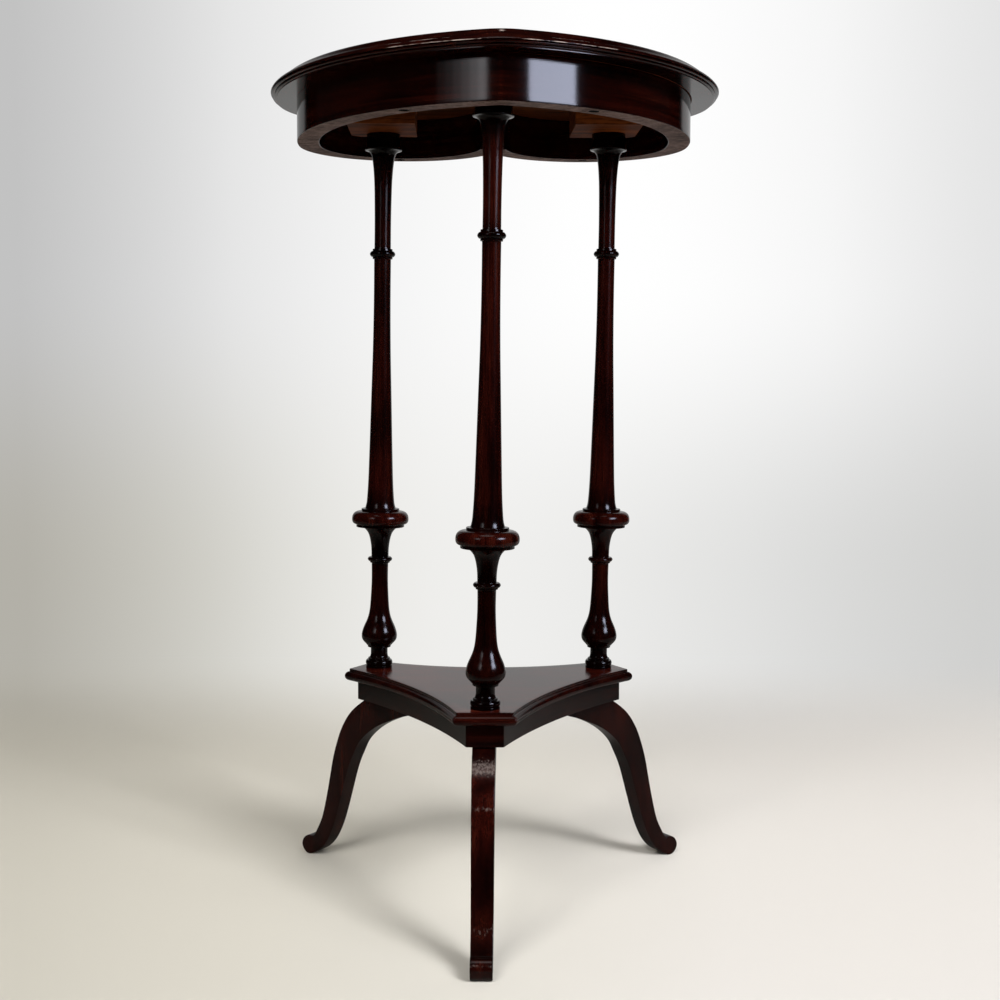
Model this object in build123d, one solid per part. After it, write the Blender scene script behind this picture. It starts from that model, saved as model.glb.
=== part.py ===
from build123d import *
import math
import os

# Side table with a heart-shaped top on three turned columns, a hollow-sided platform and three
# scroll-toed legs. Lengths are in millimetres and angles in degrees. +Z is up, the floor is z = 0,
# the point of the heart faces -Y, and the origin is the middle of the whole outline on the floor.
# Pieces are built about the middle of the three columns and moved to that origin at the end.

# Stand: how the three columns and legs are spread
column_circle = 118.0
corner_angles = {"front": -90.0, "right": 30.0, "left": 150.0}
leg_angles = {"front": -90.4, "right": 33.0, "left": 147.0}
column_lean = 0.8
joint_clearance = 0.1
hole_end_gap = 0.5
overrun = 5.0
quarter_turn = 90.0
half_turn = 180.0

# Heart: each half is a side arc and a lobe arc that meet smoothly
point_reach = 161.8
lobe_offset = 84.0
lobe_set_back = 69.0
lobe_radius = 93.4
side_radius = 234.0
side_start_lead = 8.0
top_turn = 2.05

# Top board and its moulded edge, from the underside up
board_thickness = 16.0
board_overhang = 23.8
board_side_step = 1.0
under_fillet_height = 0.8
under_fillet_set_in = 5.2
small_reed_height = 1.8
small_reed_set_in = 4.2
small_reed_bulge = 0.9
large_reed_height = 2.0
large_reed_set_in = 2.1
large_reed_bulge = 1.1
quirk_height = 0.4
quirk_set_in = 2.6
arris_height = 0.4
slope_width = 20.0
slope_shares = ((0.0, 0.0), (0.055, 0.14), (0.2, 0.33), (0.4, 0.59), (0.575, 0.83), (0.675, 0.93),
                (0.82, 0.985), (1.0, 1.0))

# Apron
apron_height = 36.4
apron_thickness = 19.7
notch_joint_depth = 27.0

# Blocks that take the tops of the columns
block_thickness = 26.6
side_block_inner = 70.0
side_block_width = 59.5
side_block_front = 2.0
side_block_depth = 74.0
side_block_corner = 8.0
front_block_width = 62.0
front_block_set_back = 90.0
front_block_depth = 43.5
front_block_corner_along = 19.0
front_block_corner_back = 13.0

# Platform board, with a small step above a half-round edge
platform_thickness = 10.9
platform_reach = 139.2
platform_corner_width = 51.0
platform_side_hollow = 14.0
platform_back_hollow = 32.0
step_height = 2.4
step_width = 3.6
nose_round_share = 0.48

# Platform frame under it
frame_thickness = 18.5
frame_reach = 131.5
frame_corner_width = 30.7
frame_side_hollow = 10.0
frame_back_hollow = 28.0

# Legs: shares of the leg's reach and height, from the root down
leg_height = 163.2
leg_reach = 211.8
leg_width = 19.0
leg_foot_width = 17.4
leg_root_inner = 84.0
leg_root_end = 13.0
toe_radius = 9.3
toe_flat = 0.4
ankle_angle = 120.0
leg_outer_shares = ((0.601, 1.0), (0.654, 0.954), (0.685, 0.923), (0.718, 0.88), (0.745, 0.83),
                    (0.7675, 0.776), (0.7855, 0.718), (0.809, 0.624), (0.833, 0.484), (0.85, 0.386),
                    (0.869, 0.288), (0.886, 0.221), (0.908, 0.166))
leg_inner_shares = ((0.444, 0.901), (0.485, 0.879), (0.5325, 0.852), (0.5695, 0.826), (0.606, 0.794),
                    (0.643, 0.752), (0.669, 0.712), (0.692, 0.656), (0.7155, 0.594), (0.748, 0.474),
                    (0.771, 0.374), (0.795, 0.273), (0.8155, 0.199), (0.834, 0.147),
                    (0.859, 0.092), (0.903, 0.034))

# Column, from the platform up: heights and radii of its members
foot_ring_height = 2.4
shoulder_trim = 0.5
foot_ring_radius = 12.1
base_torus_height = 5.0
base_torus_bulge = 0.9
base_torus_radius = 11.5
base_fillet_height = 1.8
base_fillet_radius = 10.1
neck_height = 10.2
neck_cove_height = 5.0
neck_radius = 7.8
bulb_fillet_height = 1.8
bulb_fillet_radius = 10.7
vase_height = 77.0
bulb_radius = 16.4
vase_slim_radius = 7.5
vase_shares = ((0.0, 0.42), (0.03, 0.66), (0.065, 0.91), (0.119, 1.0), (0.168, 0.93),
               (0.231, 0.74), (0.295, 0.49), (0.368, 0.28), (0.453, 0.16), (0.58, 0.08),
               (0.75, 0.01), (1.0, 0.02))
low_ring_fillet_height = 1.4
ring_fillet_radius = 9.1
low_ring_height = 4.0
low_ring_radius = 10.0
low_ring_bulge = 1.3
trumpet_height = 27.9
trumpet_slim_radius = 7.9
trumpet_wide_radius = 16.2
trumpet_shares = ((0.0, 0.0), (0.275, 0.02), (0.507, 0.115), (0.707, 0.27), (0.825, 0.44),
                  (0.94, 0.78), (1.0, 1.0))
knop_under_height = 2.6
knop_under_radius = 22.1
knop_lower_height = 4.6
knop_upper_height = 7.6
knop_radius = 26.1
knop_top_radius = 18.0
knop_over_height = 2.2
knop_over_radius = 17.4
shaft_height = 228.6
shaft_wide_radius = 14.2
shaft_slim_radius = 7.65
shaft_shares = ((0.0, 1.0), (0.017, 0.83), (0.041, 0.725), (0.099, 0.6), (0.186, 0.496),
                (0.266, 0.42), (0.376, 0.32), (0.508, 0.2), (0.6, 0.115), (0.7, 0.05),
                (0.864, 0.0), (1.0, 0.008))
high_ring_fillet_height = 2.0
high_ring_height = 5.0
high_ring_radius = 10.1
high_ring_bulge = 1.5
top_shaft_height = 79.5
top_shaft_slim_radius = 7.45
top_shaft_wide_radius = 9.8
top_shaft_shares = ((0.0, 0.02), (0.28, 0.0), (0.54, 0.1), (0.68, 0.2), (0.77, 0.31),
                    (0.85, 0.48), (0.94, 0.74), (1.0, 1.0))
flare_height = 9.0
flare_radius = 16.2
flare_share = 0.1
rim_height = 1.8
rim_bulge = 0.55
capital_height = 12.4
capital_radius = 15.2
top_tenon_radius = 9.5
top_tenon_length = 18.0
bottom_tenon_radius = 7.0
frame_tenon_depth = 8.0

# Hidden fastenings
leg_dowel_radius = 4.0
leg_dowel_length = 20.0
leg_dowel_in_frame = 8.0
leg_dowel_inner = 94.0
leg_dowel_spacing = 14.0
block_dowel_radius = 4.0
block_dowel_length = 22.0
block_dowel_in_board = 9.0
block_dowel_share = 0.32
apron_dowel_radius = 3.0
apron_dowel_length = 24.0
apron_dowel_rise_shares = (0.3, 0.7)
pocket_radius = 4.5
pocket_depth = 20.0
apron_screw_radius = 2.0
apron_screw_head_radius = 3.9
apron_screw_head_height = 2.4
apron_screw_in_board = 9.0
front_pocket_angle = -54.0
back_pocket_angle = 87.0
platform_screw_radius = 2.0
platform_screw_head_radius = 4.0
platform_screw_head_height = 2.6
platform_screw_in_board = 6.0
platform_screw_circle = 44.0
slot_width = 1.0
slot_depth = 0.8

# Levels worked out from the sizes above
frame_top = leg_height + frame_thickness
platform_top = frame_top + platform_thickness
column_members = (foot_ring_height, base_torus_height, base_fillet_height, neck_height,
                  bulb_fillet_height, vase_height, low_ring_fillet_height, low_ring_height,
                  trumpet_height, knop_under_height, knop_lower_height, knop_upper_height,
                  knop_over_height, shaft_height, high_ring_fillet_height, high_ring_height,
                  high_ring_fillet_height, top_shaft_height, flare_height, rim_height, capital_height)
column_height = sum(column_members)
block_bottom = platform_top + column_height
board_bottom = block_bottom + block_thickness
apron_bottom = board_bottom - apron_height
notch_y = lobe_set_back + math.sqrt(lobe_radius ** 2 - lobe_offset ** 2)
top_shift = column_height * math.tan(math.radians(column_lean))
leg_dowel_places = (leg_dowel_inner, leg_dowel_inner + leg_dowel_spacing)


def side_arc_centre():
    """Centre of the heart's right side arc: it passes the point and touches the lobe circle inside."""
    reach = math.hypot(lobe_offset, lobe_set_back + point_reach)
    along = (side_radius ** 2 - (side_radius - lobe_radius) ** 2 + reach ** 2) / (2 * reach)
    across = math.sqrt(side_radius ** 2 - along ** 2)
    ux = lobe_offset / reach
    uy = (lobe_set_back + point_reach) / reach
    return ux * along - uy * across, -point_reach + uy * along + ux * across


side_x, side_y = side_arc_centre()
junction_angle = math.degrees(math.atan2(lobe_set_back - side_y, lobe_offset - side_x))
point_angle = math.degrees(math.atan2(-point_reach - side_y, -side_x))


def on_circle(radius, direction):
    """Point at this radius and direction in plan, as a tuple."""
    angle = math.radians(direction)
    return radius * math.cos(angle), radius * math.sin(angle)


def cylinder(radius, height, x, y, z):
    """Upright cylinder that stands on z."""
    return Pos(x, y, z) * Cylinder(radius, height, align=(Align.CENTER, Align.CENTER, Align.MIN))


def turn_top(shape):
    """The top sits turned a little on its columns, and follows their lean to one side."""
    return Pos(top_shift, 0, 0) * Rot(0, 0, top_turn) * shape


def lean(shape):
    """Tilt a shape on the Z axis about the platform's top, as the columns stand."""
    return Pos(0, 0, platform_top) * Rot(0, column_lean, 0) * Pos(0, 0, -platform_top) * shape


def leaning_bore(radius, length, direction, z):
    """Cutter along a leaning column's axis, from z up."""
    x, y = on_circle(column_circle, direction)
    return Pos(x, y, 0) * lean(cylinder(radius, length, 0, 0, z))


def swept_half(profile, lobe_sweep):
    """Right half of a heart-shaped piece, from profile(radius), a face of (radius, height) points."""
    start = point_angle - side_start_lead
    side = revolve(Rot(0, 0, start) * profile(side_radius), Axis.Z, junction_angle - start)
    lobe = revolve(Rot(0, 0, junction_angle) * profile(lobe_radius), Axis.Z, lobe_sweep)
    half = Pos(side_x, side_y, 0) * side + Pos(lobe_offset, lobe_set_back, 0) * lobe
    span = side_radius + lobe_radius + board_overhang
    height = board_bottom + board_thickness + overrun
    right = Box(span, 2 * span, height, align=(Align.MIN, Align.CENTER, Align.MIN))
    return half & right


def board_profile(radius):
    """Section of the top board from its axis out to the reeded edge."""
    edge = radius + board_overhang
    low = board_bottom
    under = low + under_fillet_height
    small = under + small_reed_height
    large = small + large_reed_height
    quirk = large + quirk_height
    arris = quirk + arris_height
    top = low + board_thickness
    under_x = edge - under_fillet_set_in
    small_x = edge - small_reed_set_in
    large_x = edge - large_reed_set_in
    quirk_x = edge - quirk_set_in
    slope = [(edge - slope_width * across, 0, arris + (top - arris) * up) for across, up in slope_shares]
    lines = [
        Polyline((0, 0, top), (0, 0, low), (under_x, 0, low), (under_x, 0, under), (small_x, 0, under)),
        ThreePointArc((small_x, 0, under), (small_x + small_reed_bulge, 0, (under + small) / 2),
                      (small_x, 0, small)),
        Line((small_x, 0, small), (large_x, 0, small)),
        ThreePointArc((large_x, 0, small), (large_x + large_reed_bulge, 0, (small + large) / 2),
                      (large_x, 0, large)),
        Polyline((large_x, 0, large), (quirk_x, 0, large), (quirk_x, 0, quirk), (edge, 0, quirk),
                 (edge, 0, arris)),
        Spline(*slope),
        Line(slope[-1], (0, 0, top)),
    ]
    return make_face(lines)


def apron_profile(radius):
    """Upright section of the bent apron."""
    inner = radius - apron_thickness
    corners = ((inner, 0, apron_bottom), (radius, 0, apron_bottom), (radius, 0, board_bottom),
               (inner, 0, board_bottom), (inner, 0, apron_bottom))
    return make_face(Polyline(*corners))


def hollow_triangle(reach, corner_width, side_hollow, back_hollow):
    """Triangle with cut corners and hollow sides, as a face at z = 0."""
    ends = []
    for direction in corner_angles.values():
        x, y = on_circle(reach, direction)
        ax, ay = on_circle(corner_width / 2, direction - quarter_turn)
        ends.append(((x + ax, y + ay), (x - ax, y - ay)))
    edges = []
    hollows = (side_hollow, back_hollow, side_hollow)
    for index, hollow in enumerate(hollows):
        start, corner_end = ends[index]
        following = ends[(index + 1) % len(ends)][0]
        middle_x = (corner_end[0] + following[0]) / 2
        middle_y = (corner_end[1] + following[1]) / 2
        away = math.hypot(middle_x, middle_y)
        middle = (middle_x * (away - hollow) / away, middle_y * (away - hollow) / away)
        edges.append(Line(start, corner_end))
        edges.append(ThreePointArc(corner_end, middle, following))
    return make_face(edges)


def wood_screw(shank_radius, length, head_radius, head_height):
    """Slotted screw with its head's underside at z = 0, the head below and the shank above."""
    head = Pos(0, 0, -head_height) * Cylinder(
        head_radius, head_height, align=(Align.CENTER, Align.CENTER, Align.MIN))
    slot = Pos(0, 0, -head_height) * Box(
        2 * head_radius, slot_width, 2 * slot_depth)
    return head - slot + cylinder(shank_radius, length, 0, 0, 0)


def pocket_places():
    """Middle of the apron at its four screws, before the top is turned."""
    side_middle = side_radius - apron_thickness / 2
    lobe_middle = lobe_radius - apron_thickness / 2
    sx, sy = on_circle(side_middle, front_pocket_angle)
    lx, ly = on_circle(lobe_middle, back_pocket_angle)
    right = ((side_x + sx, side_y + sy), (lobe_offset + lx, lobe_set_back + ly))
    return right + tuple((-x, y) for x, y in right)


def block_outlines():
    """Corners of the three blocks in plan, before the top is turned."""
    inner = side_block_inner
    outer = inner + side_block_width
    near = side_block_front
    far = near + side_block_depth
    cut = side_block_corner
    right = ((inner, near), (outer, near), (outer, far - cut), (outer - cut, far), (inner, far))
    left = tuple((-x, y) for x, y in right)
    half = front_block_width / 2
    back = -front_block_set_back
    front = back - front_block_depth
    front_outline = ((-half, back), (half, back), (half, front + front_block_corner_back),
                     (half - front_block_corner_along, front), (front_block_corner_along - half, front),
                     (-half, front + front_block_corner_back))
    return {"front": front_outline, "right": right, "left": left}


def block_dowel_places(outline):
    """Two places in a block, either side of its column's tenon."""
    xs = [x for x, y in outline]
    ys = [y for x, y in outline]
    middle_x = (min(xs) + max(xs)) / 2
    middle_y = (min(ys) + max(ys)) / 2
    step_x = (max(xs) - min(xs)) * block_dowel_share
    step_y = (max(ys) - min(ys)) * block_dowel_share * middle_x / (side_block_inner + side_block_width / 2)
    return (middle_x + step_x, middle_y + step_y), (middle_x - step_x, middle_y - step_y)


def apron_dowel_places():
    """Distances along Y of the dowels at the point and at the notch."""
    inner_point = side_y - math.sqrt((side_radius - apron_thickness) ** 2 - side_x ** 2)
    return (inner_point - point_reach) / 2, notch_y - notch_joint_depth / 2


class Turning:
    """Outline of a turned piece, followed upwards from its foot."""

    def __init__(self, radius, height):
        self.edges = [Line((0, 0, height), (radius, 0, height))]
        self.radius = radius
        self.height = height

    def line(self, radius, rise):
        """Straight stretch to a radius and up by rise; one of them may stay as it is."""
        end = (radius, 0, self.height + rise)
        self.edges.append(Line((self.radius, 0, self.height), end))
        self.radius = radius
        self.height += rise

    def step(self, radius):
        """Level step to another radius."""
        self.line(radius, 0)

    def rise(self, height):
        """Upright stretch."""
        self.line(self.radius, height)

    def bead(self, height, bulge):
        """Rounded ring that stands out by bulge at its middle."""
        start = (self.radius, 0, self.height)
        middle = (self.radius + bulge, 0, self.height + height / 2)
        end = (self.radius, 0, self.height + height)
        self.edges.append(ThreePointArc(start, middle, end))
        self.height += height

    def quarter(self, radius, height, level_first, share=0.0):
        """Curve to a radius and up by height, that leaves or arrives level."""
        start = (self.radius, 0, self.height)
        end = (radius, 0, self.height + height)
        if level_first:
            control = (radius + (self.radius - radius) * share, 0, self.height)
        else:
            control = (self.radius + (radius - self.radius) * share, 0, self.height + height)
        self.edges.append(Bezier(start, control, end))
        self.radius = radius
        self.height += height

    def flow(self, slim, wide, height, shares):
        """Smooth curve through (height share, radius share) pairs, from slim to wide."""
        points = [(slim + (wide - slim) * r, 0, self.height + height * h) for h, r in shares]
        self.step(points[0][0])
        self.edges.append(Spline(*points))
        self.radius = points[-1][0]
        self.height += height

    def solid(self):
        """The turned solid."""
        self.step(0)
        bottom = self.edges[0] @ 0
        self.edges.append(Line((0, 0, self.height), (bottom.X, bottom.Y, bottom.Z)))
        return revolve(make_face(self.edges), Axis.Z)


def column():
    """One turned column, leaning, with its ends trimmed level and a tenon at each."""
    turning = Turning(foot_ring_radius, platform_top - shoulder_trim)
    turning.rise(shoulder_trim + foot_ring_height)
    turning.step(base_torus_radius)
    turning.bead(base_torus_height, base_torus_bulge)
    turning.step(base_fillet_radius)
    turning.rise(base_fillet_height)
    turning.quarter(neck_radius, neck_cove_height, True)
    turning.rise(neck_height - neck_cove_height)
    turning.step(bulb_fillet_radius)
    turning.rise(bulb_fillet_height)
    turning.flow(vase_slim_radius, bulb_radius, vase_height, vase_shares)
    turning.step(ring_fillet_radius)
    turning.rise(low_ring_fillet_height)
    turning.step(low_ring_radius)
    turning.bead(low_ring_height, low_ring_bulge)
    turning.flow(trumpet_slim_radius, trumpet_wide_radius, trumpet_height, trumpet_shares)
    turning.step(knop_under_radius)
    turning.rise(knop_under_height)
    turning.quarter(knop_radius, knop_lower_height, True)
    turning.quarter(knop_top_radius, knop_upper_height, False)
    turning.step(knop_over_radius)
    turning.rise(knop_over_height)
    turning.flow(shaft_slim_radius, shaft_wide_radius, shaft_height, shaft_shares)
    turning.step(ring_fillet_radius)
    turning.rise(high_ring_fillet_height)
    turning.step(high_ring_radius)
    turning.bead(high_ring_height, high_ring_bulge)
    turning.step(ring_fillet_radius)
    turning.rise(high_ring_fillet_height)
    turning.flow(top_shaft_slim_radius, top_shaft_wide_radius, top_shaft_height, top_shaft_shares)
    turning.quarter(flare_radius, flare_height, False, flare_share)
    turning.bead(rim_height, rim_bulge)
    turning.step(capital_radius)
    turning.rise(capital_height + shoulder_trim)
    span = 2 * (knop_radius + top_shift)
    level = Pos(0, 0, platform_top) * Box(
        span, span, column_height, align=(Align.CENTER, Align.CENTER, Align.MIN))
    body = lean(turning.solid()) & level
    lower = cylinder(bottom_tenon_radius, frame_tenon_depth + platform_thickness + foot_ring_height,
                     0, 0, frame_top - frame_tenon_depth)
    upper = cylinder(top_tenon_radius, top_tenon_length + capital_height / 2,
                     0, 0, block_bottom - capital_height / 2)
    return body + lean(lower) + lean(upper)


def leg():
    """One leg in the XZ plane, with its foot towards +X, thinner at the foot, and its dowel holes."""
    def at(share):
        return leg_reach * share[0], 0, leg_height * share[1]

    toe_x = leg_reach - toe_radius
    toe_z = toe_radius - toe_flat
    ankle_x, ankle_rise = on_circle(toe_radius, ankle_angle)
    outer = [at(share) for share in leg_outer_shares] + [(toe_x + ankle_x, 0, toe_z + ankle_rise)]
    root_end = (leg_root_inner, 0, leg_height - leg_root_end)
    inner = [root_end] + [at(share) for share in leg_inner_shares] + [(toe_x, 0, -toe_flat)]
    edges = [
        Line(outer[0], (leg_root_inner, 0, leg_height)),
        Line((leg_root_inner, 0, leg_height), root_end),
        Spline(*inner),
        ThreePointArc(inner[-1], (leg_reach, 0, toe_z), outer[-1]),
        Spline(*outer),
    ]
    side = extrude(make_face(edges), leg_width / 2, dir=(0, 1, 0), both=True)
    front = Polyline((0, -leg_foot_width / 2, 0), (0, leg_foot_width / 2, 0), (0, leg_width / 2, leg_height),
                     (0, -leg_width / 2, leg_height), close=True)
    solid = side & extrude(make_face(front), leg_reach + overrun, dir=(1, 0, 0))
    in_leg = leg_dowel_length - leg_dowel_in_frame + hole_end_gap
    for place in leg_dowel_places:
        solid -= cylinder(leg_dowel_radius + joint_clearance, in_leg + overrun, place, 0, leg_height - in_leg)
    return solid


def platform_board():
    """Moulded board: a half-round edge with a small step above it."""
    nose_height = platform_thickness - step_height
    outline = hollow_triangle(platform_reach, platform_corner_width, platform_side_hollow,
                              platform_back_hollow)
    nose = Pos(0, 0, frame_top) * extrude(outline, nose_height)
    rims = nose.faces().sort_by(Axis.Z)[0].edges() + nose.faces().sort_by(Axis.Z)[-1].edges()
    nose = fillet(rims, nose_height * nose_round_share)
    inner = offset(outline, -step_width, kind=Kind.INTERSECTION)
    board = nose + Pos(0, 0, frame_top + nose_height) * extrude(inner, step_height)
    for direction in corner_angles.values():
        board -= leaning_bore(bottom_tenon_radius + joint_clearance, platform_thickness + 2 * overrun,
                              direction, frame_top - overrun)
    for x, y in platform_screw_places():
        board -= cylinder(platform_screw_radius + joint_clearance,
                          platform_screw_in_board + hole_end_gap + overrun, x, y, frame_top - overrun)
    return board


def platform_screw_places():
    """Places of the screws, between the corners."""
    return [on_circle(platform_screw_circle, direction + half_turn) for direction in corner_angles.values()]


def platform_frame():
    """Thicker board under the platform, with the ends of the columns and the leg dowels in it."""
    outline = hollow_triangle(frame_reach, frame_corner_width, frame_side_hollow, frame_back_hollow)
    frame = Pos(0, 0, leg_height) * extrude(outline, frame_thickness)
    for direction in corner_angles.values():
        depth = frame_tenon_depth + hole_end_gap
        frame -= leaning_bore(bottom_tenon_radius + joint_clearance, depth + overrun, direction,
                              frame_top - depth)
    for direction in leg_angles.values():
        for place in leg_dowel_places:
            x, y = on_circle(place, direction)
            depth = leg_dowel_in_frame + hole_end_gap
            frame -= cylinder(leg_dowel_radius + joint_clearance, depth + overrun, x, y, leg_height - overrun)
    for x, y in platform_screw_places():
        frame -= cylinder(platform_screw_radius + joint_clearance, frame_thickness + 2 * overrun,
                          x, y, leg_height - overrun)
        frame -= cylinder(platform_screw_head_radius + joint_clearance,
                          platform_screw_head_height + overrun, x, y, leg_height - overrun)
    return frame


def top_board():
    """Heart-shaped board with its holes for screws and dowels, before it is turned."""
    half = swept_half(board_profile, half_turn)
    board = Pos(board_side_step, 0, 0) * (half + mirror(half, Plane.YZ))
    for x, y in pocket_places():
        depth = apron_screw_in_board + hole_end_gap
        board -= cylinder(apron_screw_radius + joint_clearance, depth + overrun, x, y,
                          board_bottom - overrun)
    for outline in block_outlines().values():
        for x, y in block_dowel_places(outline):
            depth = block_dowel_in_board + hole_end_gap
            board -= cylinder(block_dowel_radius + joint_clearance, depth + overrun, x, y,
                              board_bottom - overrun)
    return board


def apron_half():
    """Right half of the apron, with its screw pockets and dowel holes, before it is turned."""
    end_rise = notch_y - notch_joint_depth - lobe_set_back
    end_angle = half_turn - math.degrees(math.asin(end_rise / (lobe_radius - apron_thickness)))
    half = swept_half(apron_profile, end_angle - junction_angle)
    for x, y in pocket_places()[:2]:
        half -= cylinder(apron_screw_radius + joint_clearance, apron_height + 2 * overrun, x, y,
                         apron_bottom - overrun)
        half -= cylinder(pocket_radius, pocket_depth + overrun, x, y, apron_bottom - overrun)
    for y in apron_dowel_places():
        for share in apron_dowel_rise_shares:
            depth = apron_dowel_length / 2 + hole_end_gap
            bore = Cylinder(apron_dowel_radius + joint_clearance, 2 * depth)
            half -= Pos(0, y, apron_bottom + apron_height * share) * Rot(0, quarter_turn, 0) * bore
    return half


def column_block(name, outline):
    """Block under the board, turned with the top and bored for its column and dowels."""
    corners = [(x, y, block_bottom) for x, y in outline]
    block = extrude(make_face(Polyline(*corners, close=True)), block_thickness, dir=(0, 0, 1))
    for x, y in block_dowel_places(outline):
        depth = block_dowel_length - block_dowel_in_board + hole_end_gap
        block -= cylinder(block_dowel_radius + joint_clearance, depth + overrun, x, y, board_bottom - depth)
    depth = top_tenon_length + hole_end_gap
    return turn_top(block) - leaning_bore(top_tenon_radius + joint_clearance, depth + overrun,
                                          corner_angles[name], block_bottom - overrun)


def all_pieces():
    """Every piece by node name, about the middle of the columns."""
    pieces = {"top_board": turn_top(top_board())}
    right_apron = apron_half()
    pieces["apron_right"] = turn_top(right_apron)
    pieces["apron_left"] = turn_top(mirror(right_apron, Plane.YZ))
    for name, outline in block_outlines().items():
        pieces["block_" + name] = column_block(name, outline)
    turned_column = column()
    for name, direction in corner_angles.items():
        x, y = on_circle(column_circle, direction)
        pieces["column_" + name] = Pos(x, y, 0) * turned_column
    one_leg = leg()
    leg_dowels = []
    for name, direction in leg_angles.items():
        pieces["leg_" + name] = Rot(0, 0, direction) * one_leg
        for place in leg_dowel_places:
            x, y = on_circle(place, direction)
            leg_dowels.append(cylinder(leg_dowel_radius, leg_dowel_length, x, y,
                                       leg_height + leg_dowel_in_frame - leg_dowel_length))
    pieces["leg_dowels"] = Compound(leg_dowels)
    pieces["platform_board"] = platform_board()
    pieces["platform_frame"] = platform_frame()
    block_dowels = []
    for outline in block_outlines().values():
        for x, y in block_dowel_places(outline):
            base = board_bottom + block_dowel_in_board - block_dowel_length
            block_dowels.append(turn_top(cylinder(block_dowel_radius, block_dowel_length, x, y, base)))
    pieces["block_dowels"] = Compound(block_dowels)
    apron_dowels = []
    for y in apron_dowel_places():
        for share in apron_dowel_rise_shares:
            dowel = Rot(0, quarter_turn, 0) * Cylinder(apron_dowel_radius, apron_dowel_length)
            apron_dowels.append(turn_top(Pos(0, y, apron_bottom + apron_height * share) * dowel))
    pieces["apron_dowels"] = Compound(apron_dowels)
    apron_screw = wood_screw(apron_screw_radius, apron_height - pocket_depth + apron_screw_in_board,
                             apron_screw_head_radius, apron_screw_head_height)
    apron_screws = [turn_top(Pos(x, y, apron_bottom + pocket_depth) * apron_screw)
                    for x, y in pocket_places()]
    pieces["apron_screws"] = Compound(apron_screws)
    shank = frame_thickness - platform_screw_head_height + platform_screw_in_board
    platform_screw = wood_screw(platform_screw_radius, shank, platform_screw_head_radius,
                                platform_screw_head_height)
    platform_screws = [Pos(x, y, leg_height + platform_screw_head_height) * platform_screw
                       for x, y in platform_screw_places()]
    pieces["platform_screws"] = Compound(platform_screws)
    return pieces


pieces = all_pieces()
box = Compound([piece for piece in pieces.values()]).bounding_box()
to_origin = Pos(-(box.min.X + box.max.X) / 2, -(box.min.Y + box.max.Y) / 2, 0)
os.makedirs("parts", exist_ok=True)
for node, piece in pieces.items():
    export_step(to_origin * piece, "parts/" + node + ".step")
    print(node, "written")
print("stand centre", round(to_origin.position.X, 3), round(to_origin.position.Y, 3))
print("overall height", round(box.max.Z, 3), "block bottom", round(block_bottom, 3))
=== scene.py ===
"""Side table with a heart-shaped top on three turned columns, in the frame of its packed solids.

The boards, apron, columns and legs are surfaces worked out from named sizes, and replace their solids; the
blocks, dowels and screws keep their solids and take materials. Lengths are metres unless a comment says
otherwise."""
import math

import bmesh
import bpy
import numpy as np
from bpy.props import FloatProperty, FloatVectorProperty, IntProperty, PointerProperty
from mathutils import Matrix, Vector


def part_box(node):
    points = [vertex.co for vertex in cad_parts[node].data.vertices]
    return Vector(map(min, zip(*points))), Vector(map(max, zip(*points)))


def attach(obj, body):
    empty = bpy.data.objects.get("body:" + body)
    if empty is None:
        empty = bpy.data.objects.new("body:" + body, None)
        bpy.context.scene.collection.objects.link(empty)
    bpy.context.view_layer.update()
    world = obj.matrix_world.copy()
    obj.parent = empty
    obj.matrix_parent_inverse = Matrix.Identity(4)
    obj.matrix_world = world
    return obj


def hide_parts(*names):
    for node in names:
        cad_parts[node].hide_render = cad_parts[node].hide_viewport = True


bl_info = {
    "name": "Heart-Topped Side Table",
    "version": (1, 0, 0),
    "blender": (4, 5, 0),
    "location": "View3D > Sidebar > Side Table",
    "description": "Dresses the packed side table in French-polished mahogany on a pale studio floor",
    "category": "Object",
}

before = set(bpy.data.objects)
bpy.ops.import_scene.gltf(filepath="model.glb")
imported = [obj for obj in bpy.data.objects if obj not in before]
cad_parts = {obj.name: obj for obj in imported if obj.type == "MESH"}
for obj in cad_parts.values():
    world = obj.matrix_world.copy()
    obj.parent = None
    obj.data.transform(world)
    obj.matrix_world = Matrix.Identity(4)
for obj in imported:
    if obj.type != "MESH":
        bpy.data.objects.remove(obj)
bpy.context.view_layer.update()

# Levels and places, from the packed pieces
floor_level = 0.0
frame_low, frame_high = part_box("platform_frame")
shelf_low, shelf_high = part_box("platform_board")
board_low, board_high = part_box("top_board")
apron_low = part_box("apron_right")[0]
block_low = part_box("block_front")[0]
corner_angles = {"front": math.radians(-90), "right": math.radians(30), "left": math.radians(150)}


# ---------------------------------------------------------------- settings
def size(name, description, default):
    """A length in metres that a user may set."""
    return FloatProperty(name=name, description=description, default=default, unit="LENGTH")


def angle(name, description, degrees):
    """An angle that a user may set, given in degrees."""
    return FloatProperty(name=name, description=description, default=math.radians(degrees), unit="ROTATION")


def share(name, description, default):
    """A share or strength that a user may set."""
    return FloatProperty(name=name, description=description, default=default, min=0.0)


def colour(name, description, default):
    """A linear colour that a user may set."""
    return FloatVectorProperty(name=name, description=description, default=default, subtype="COLOR",
                               size=3, min=0.0, max=1.0)


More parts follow.
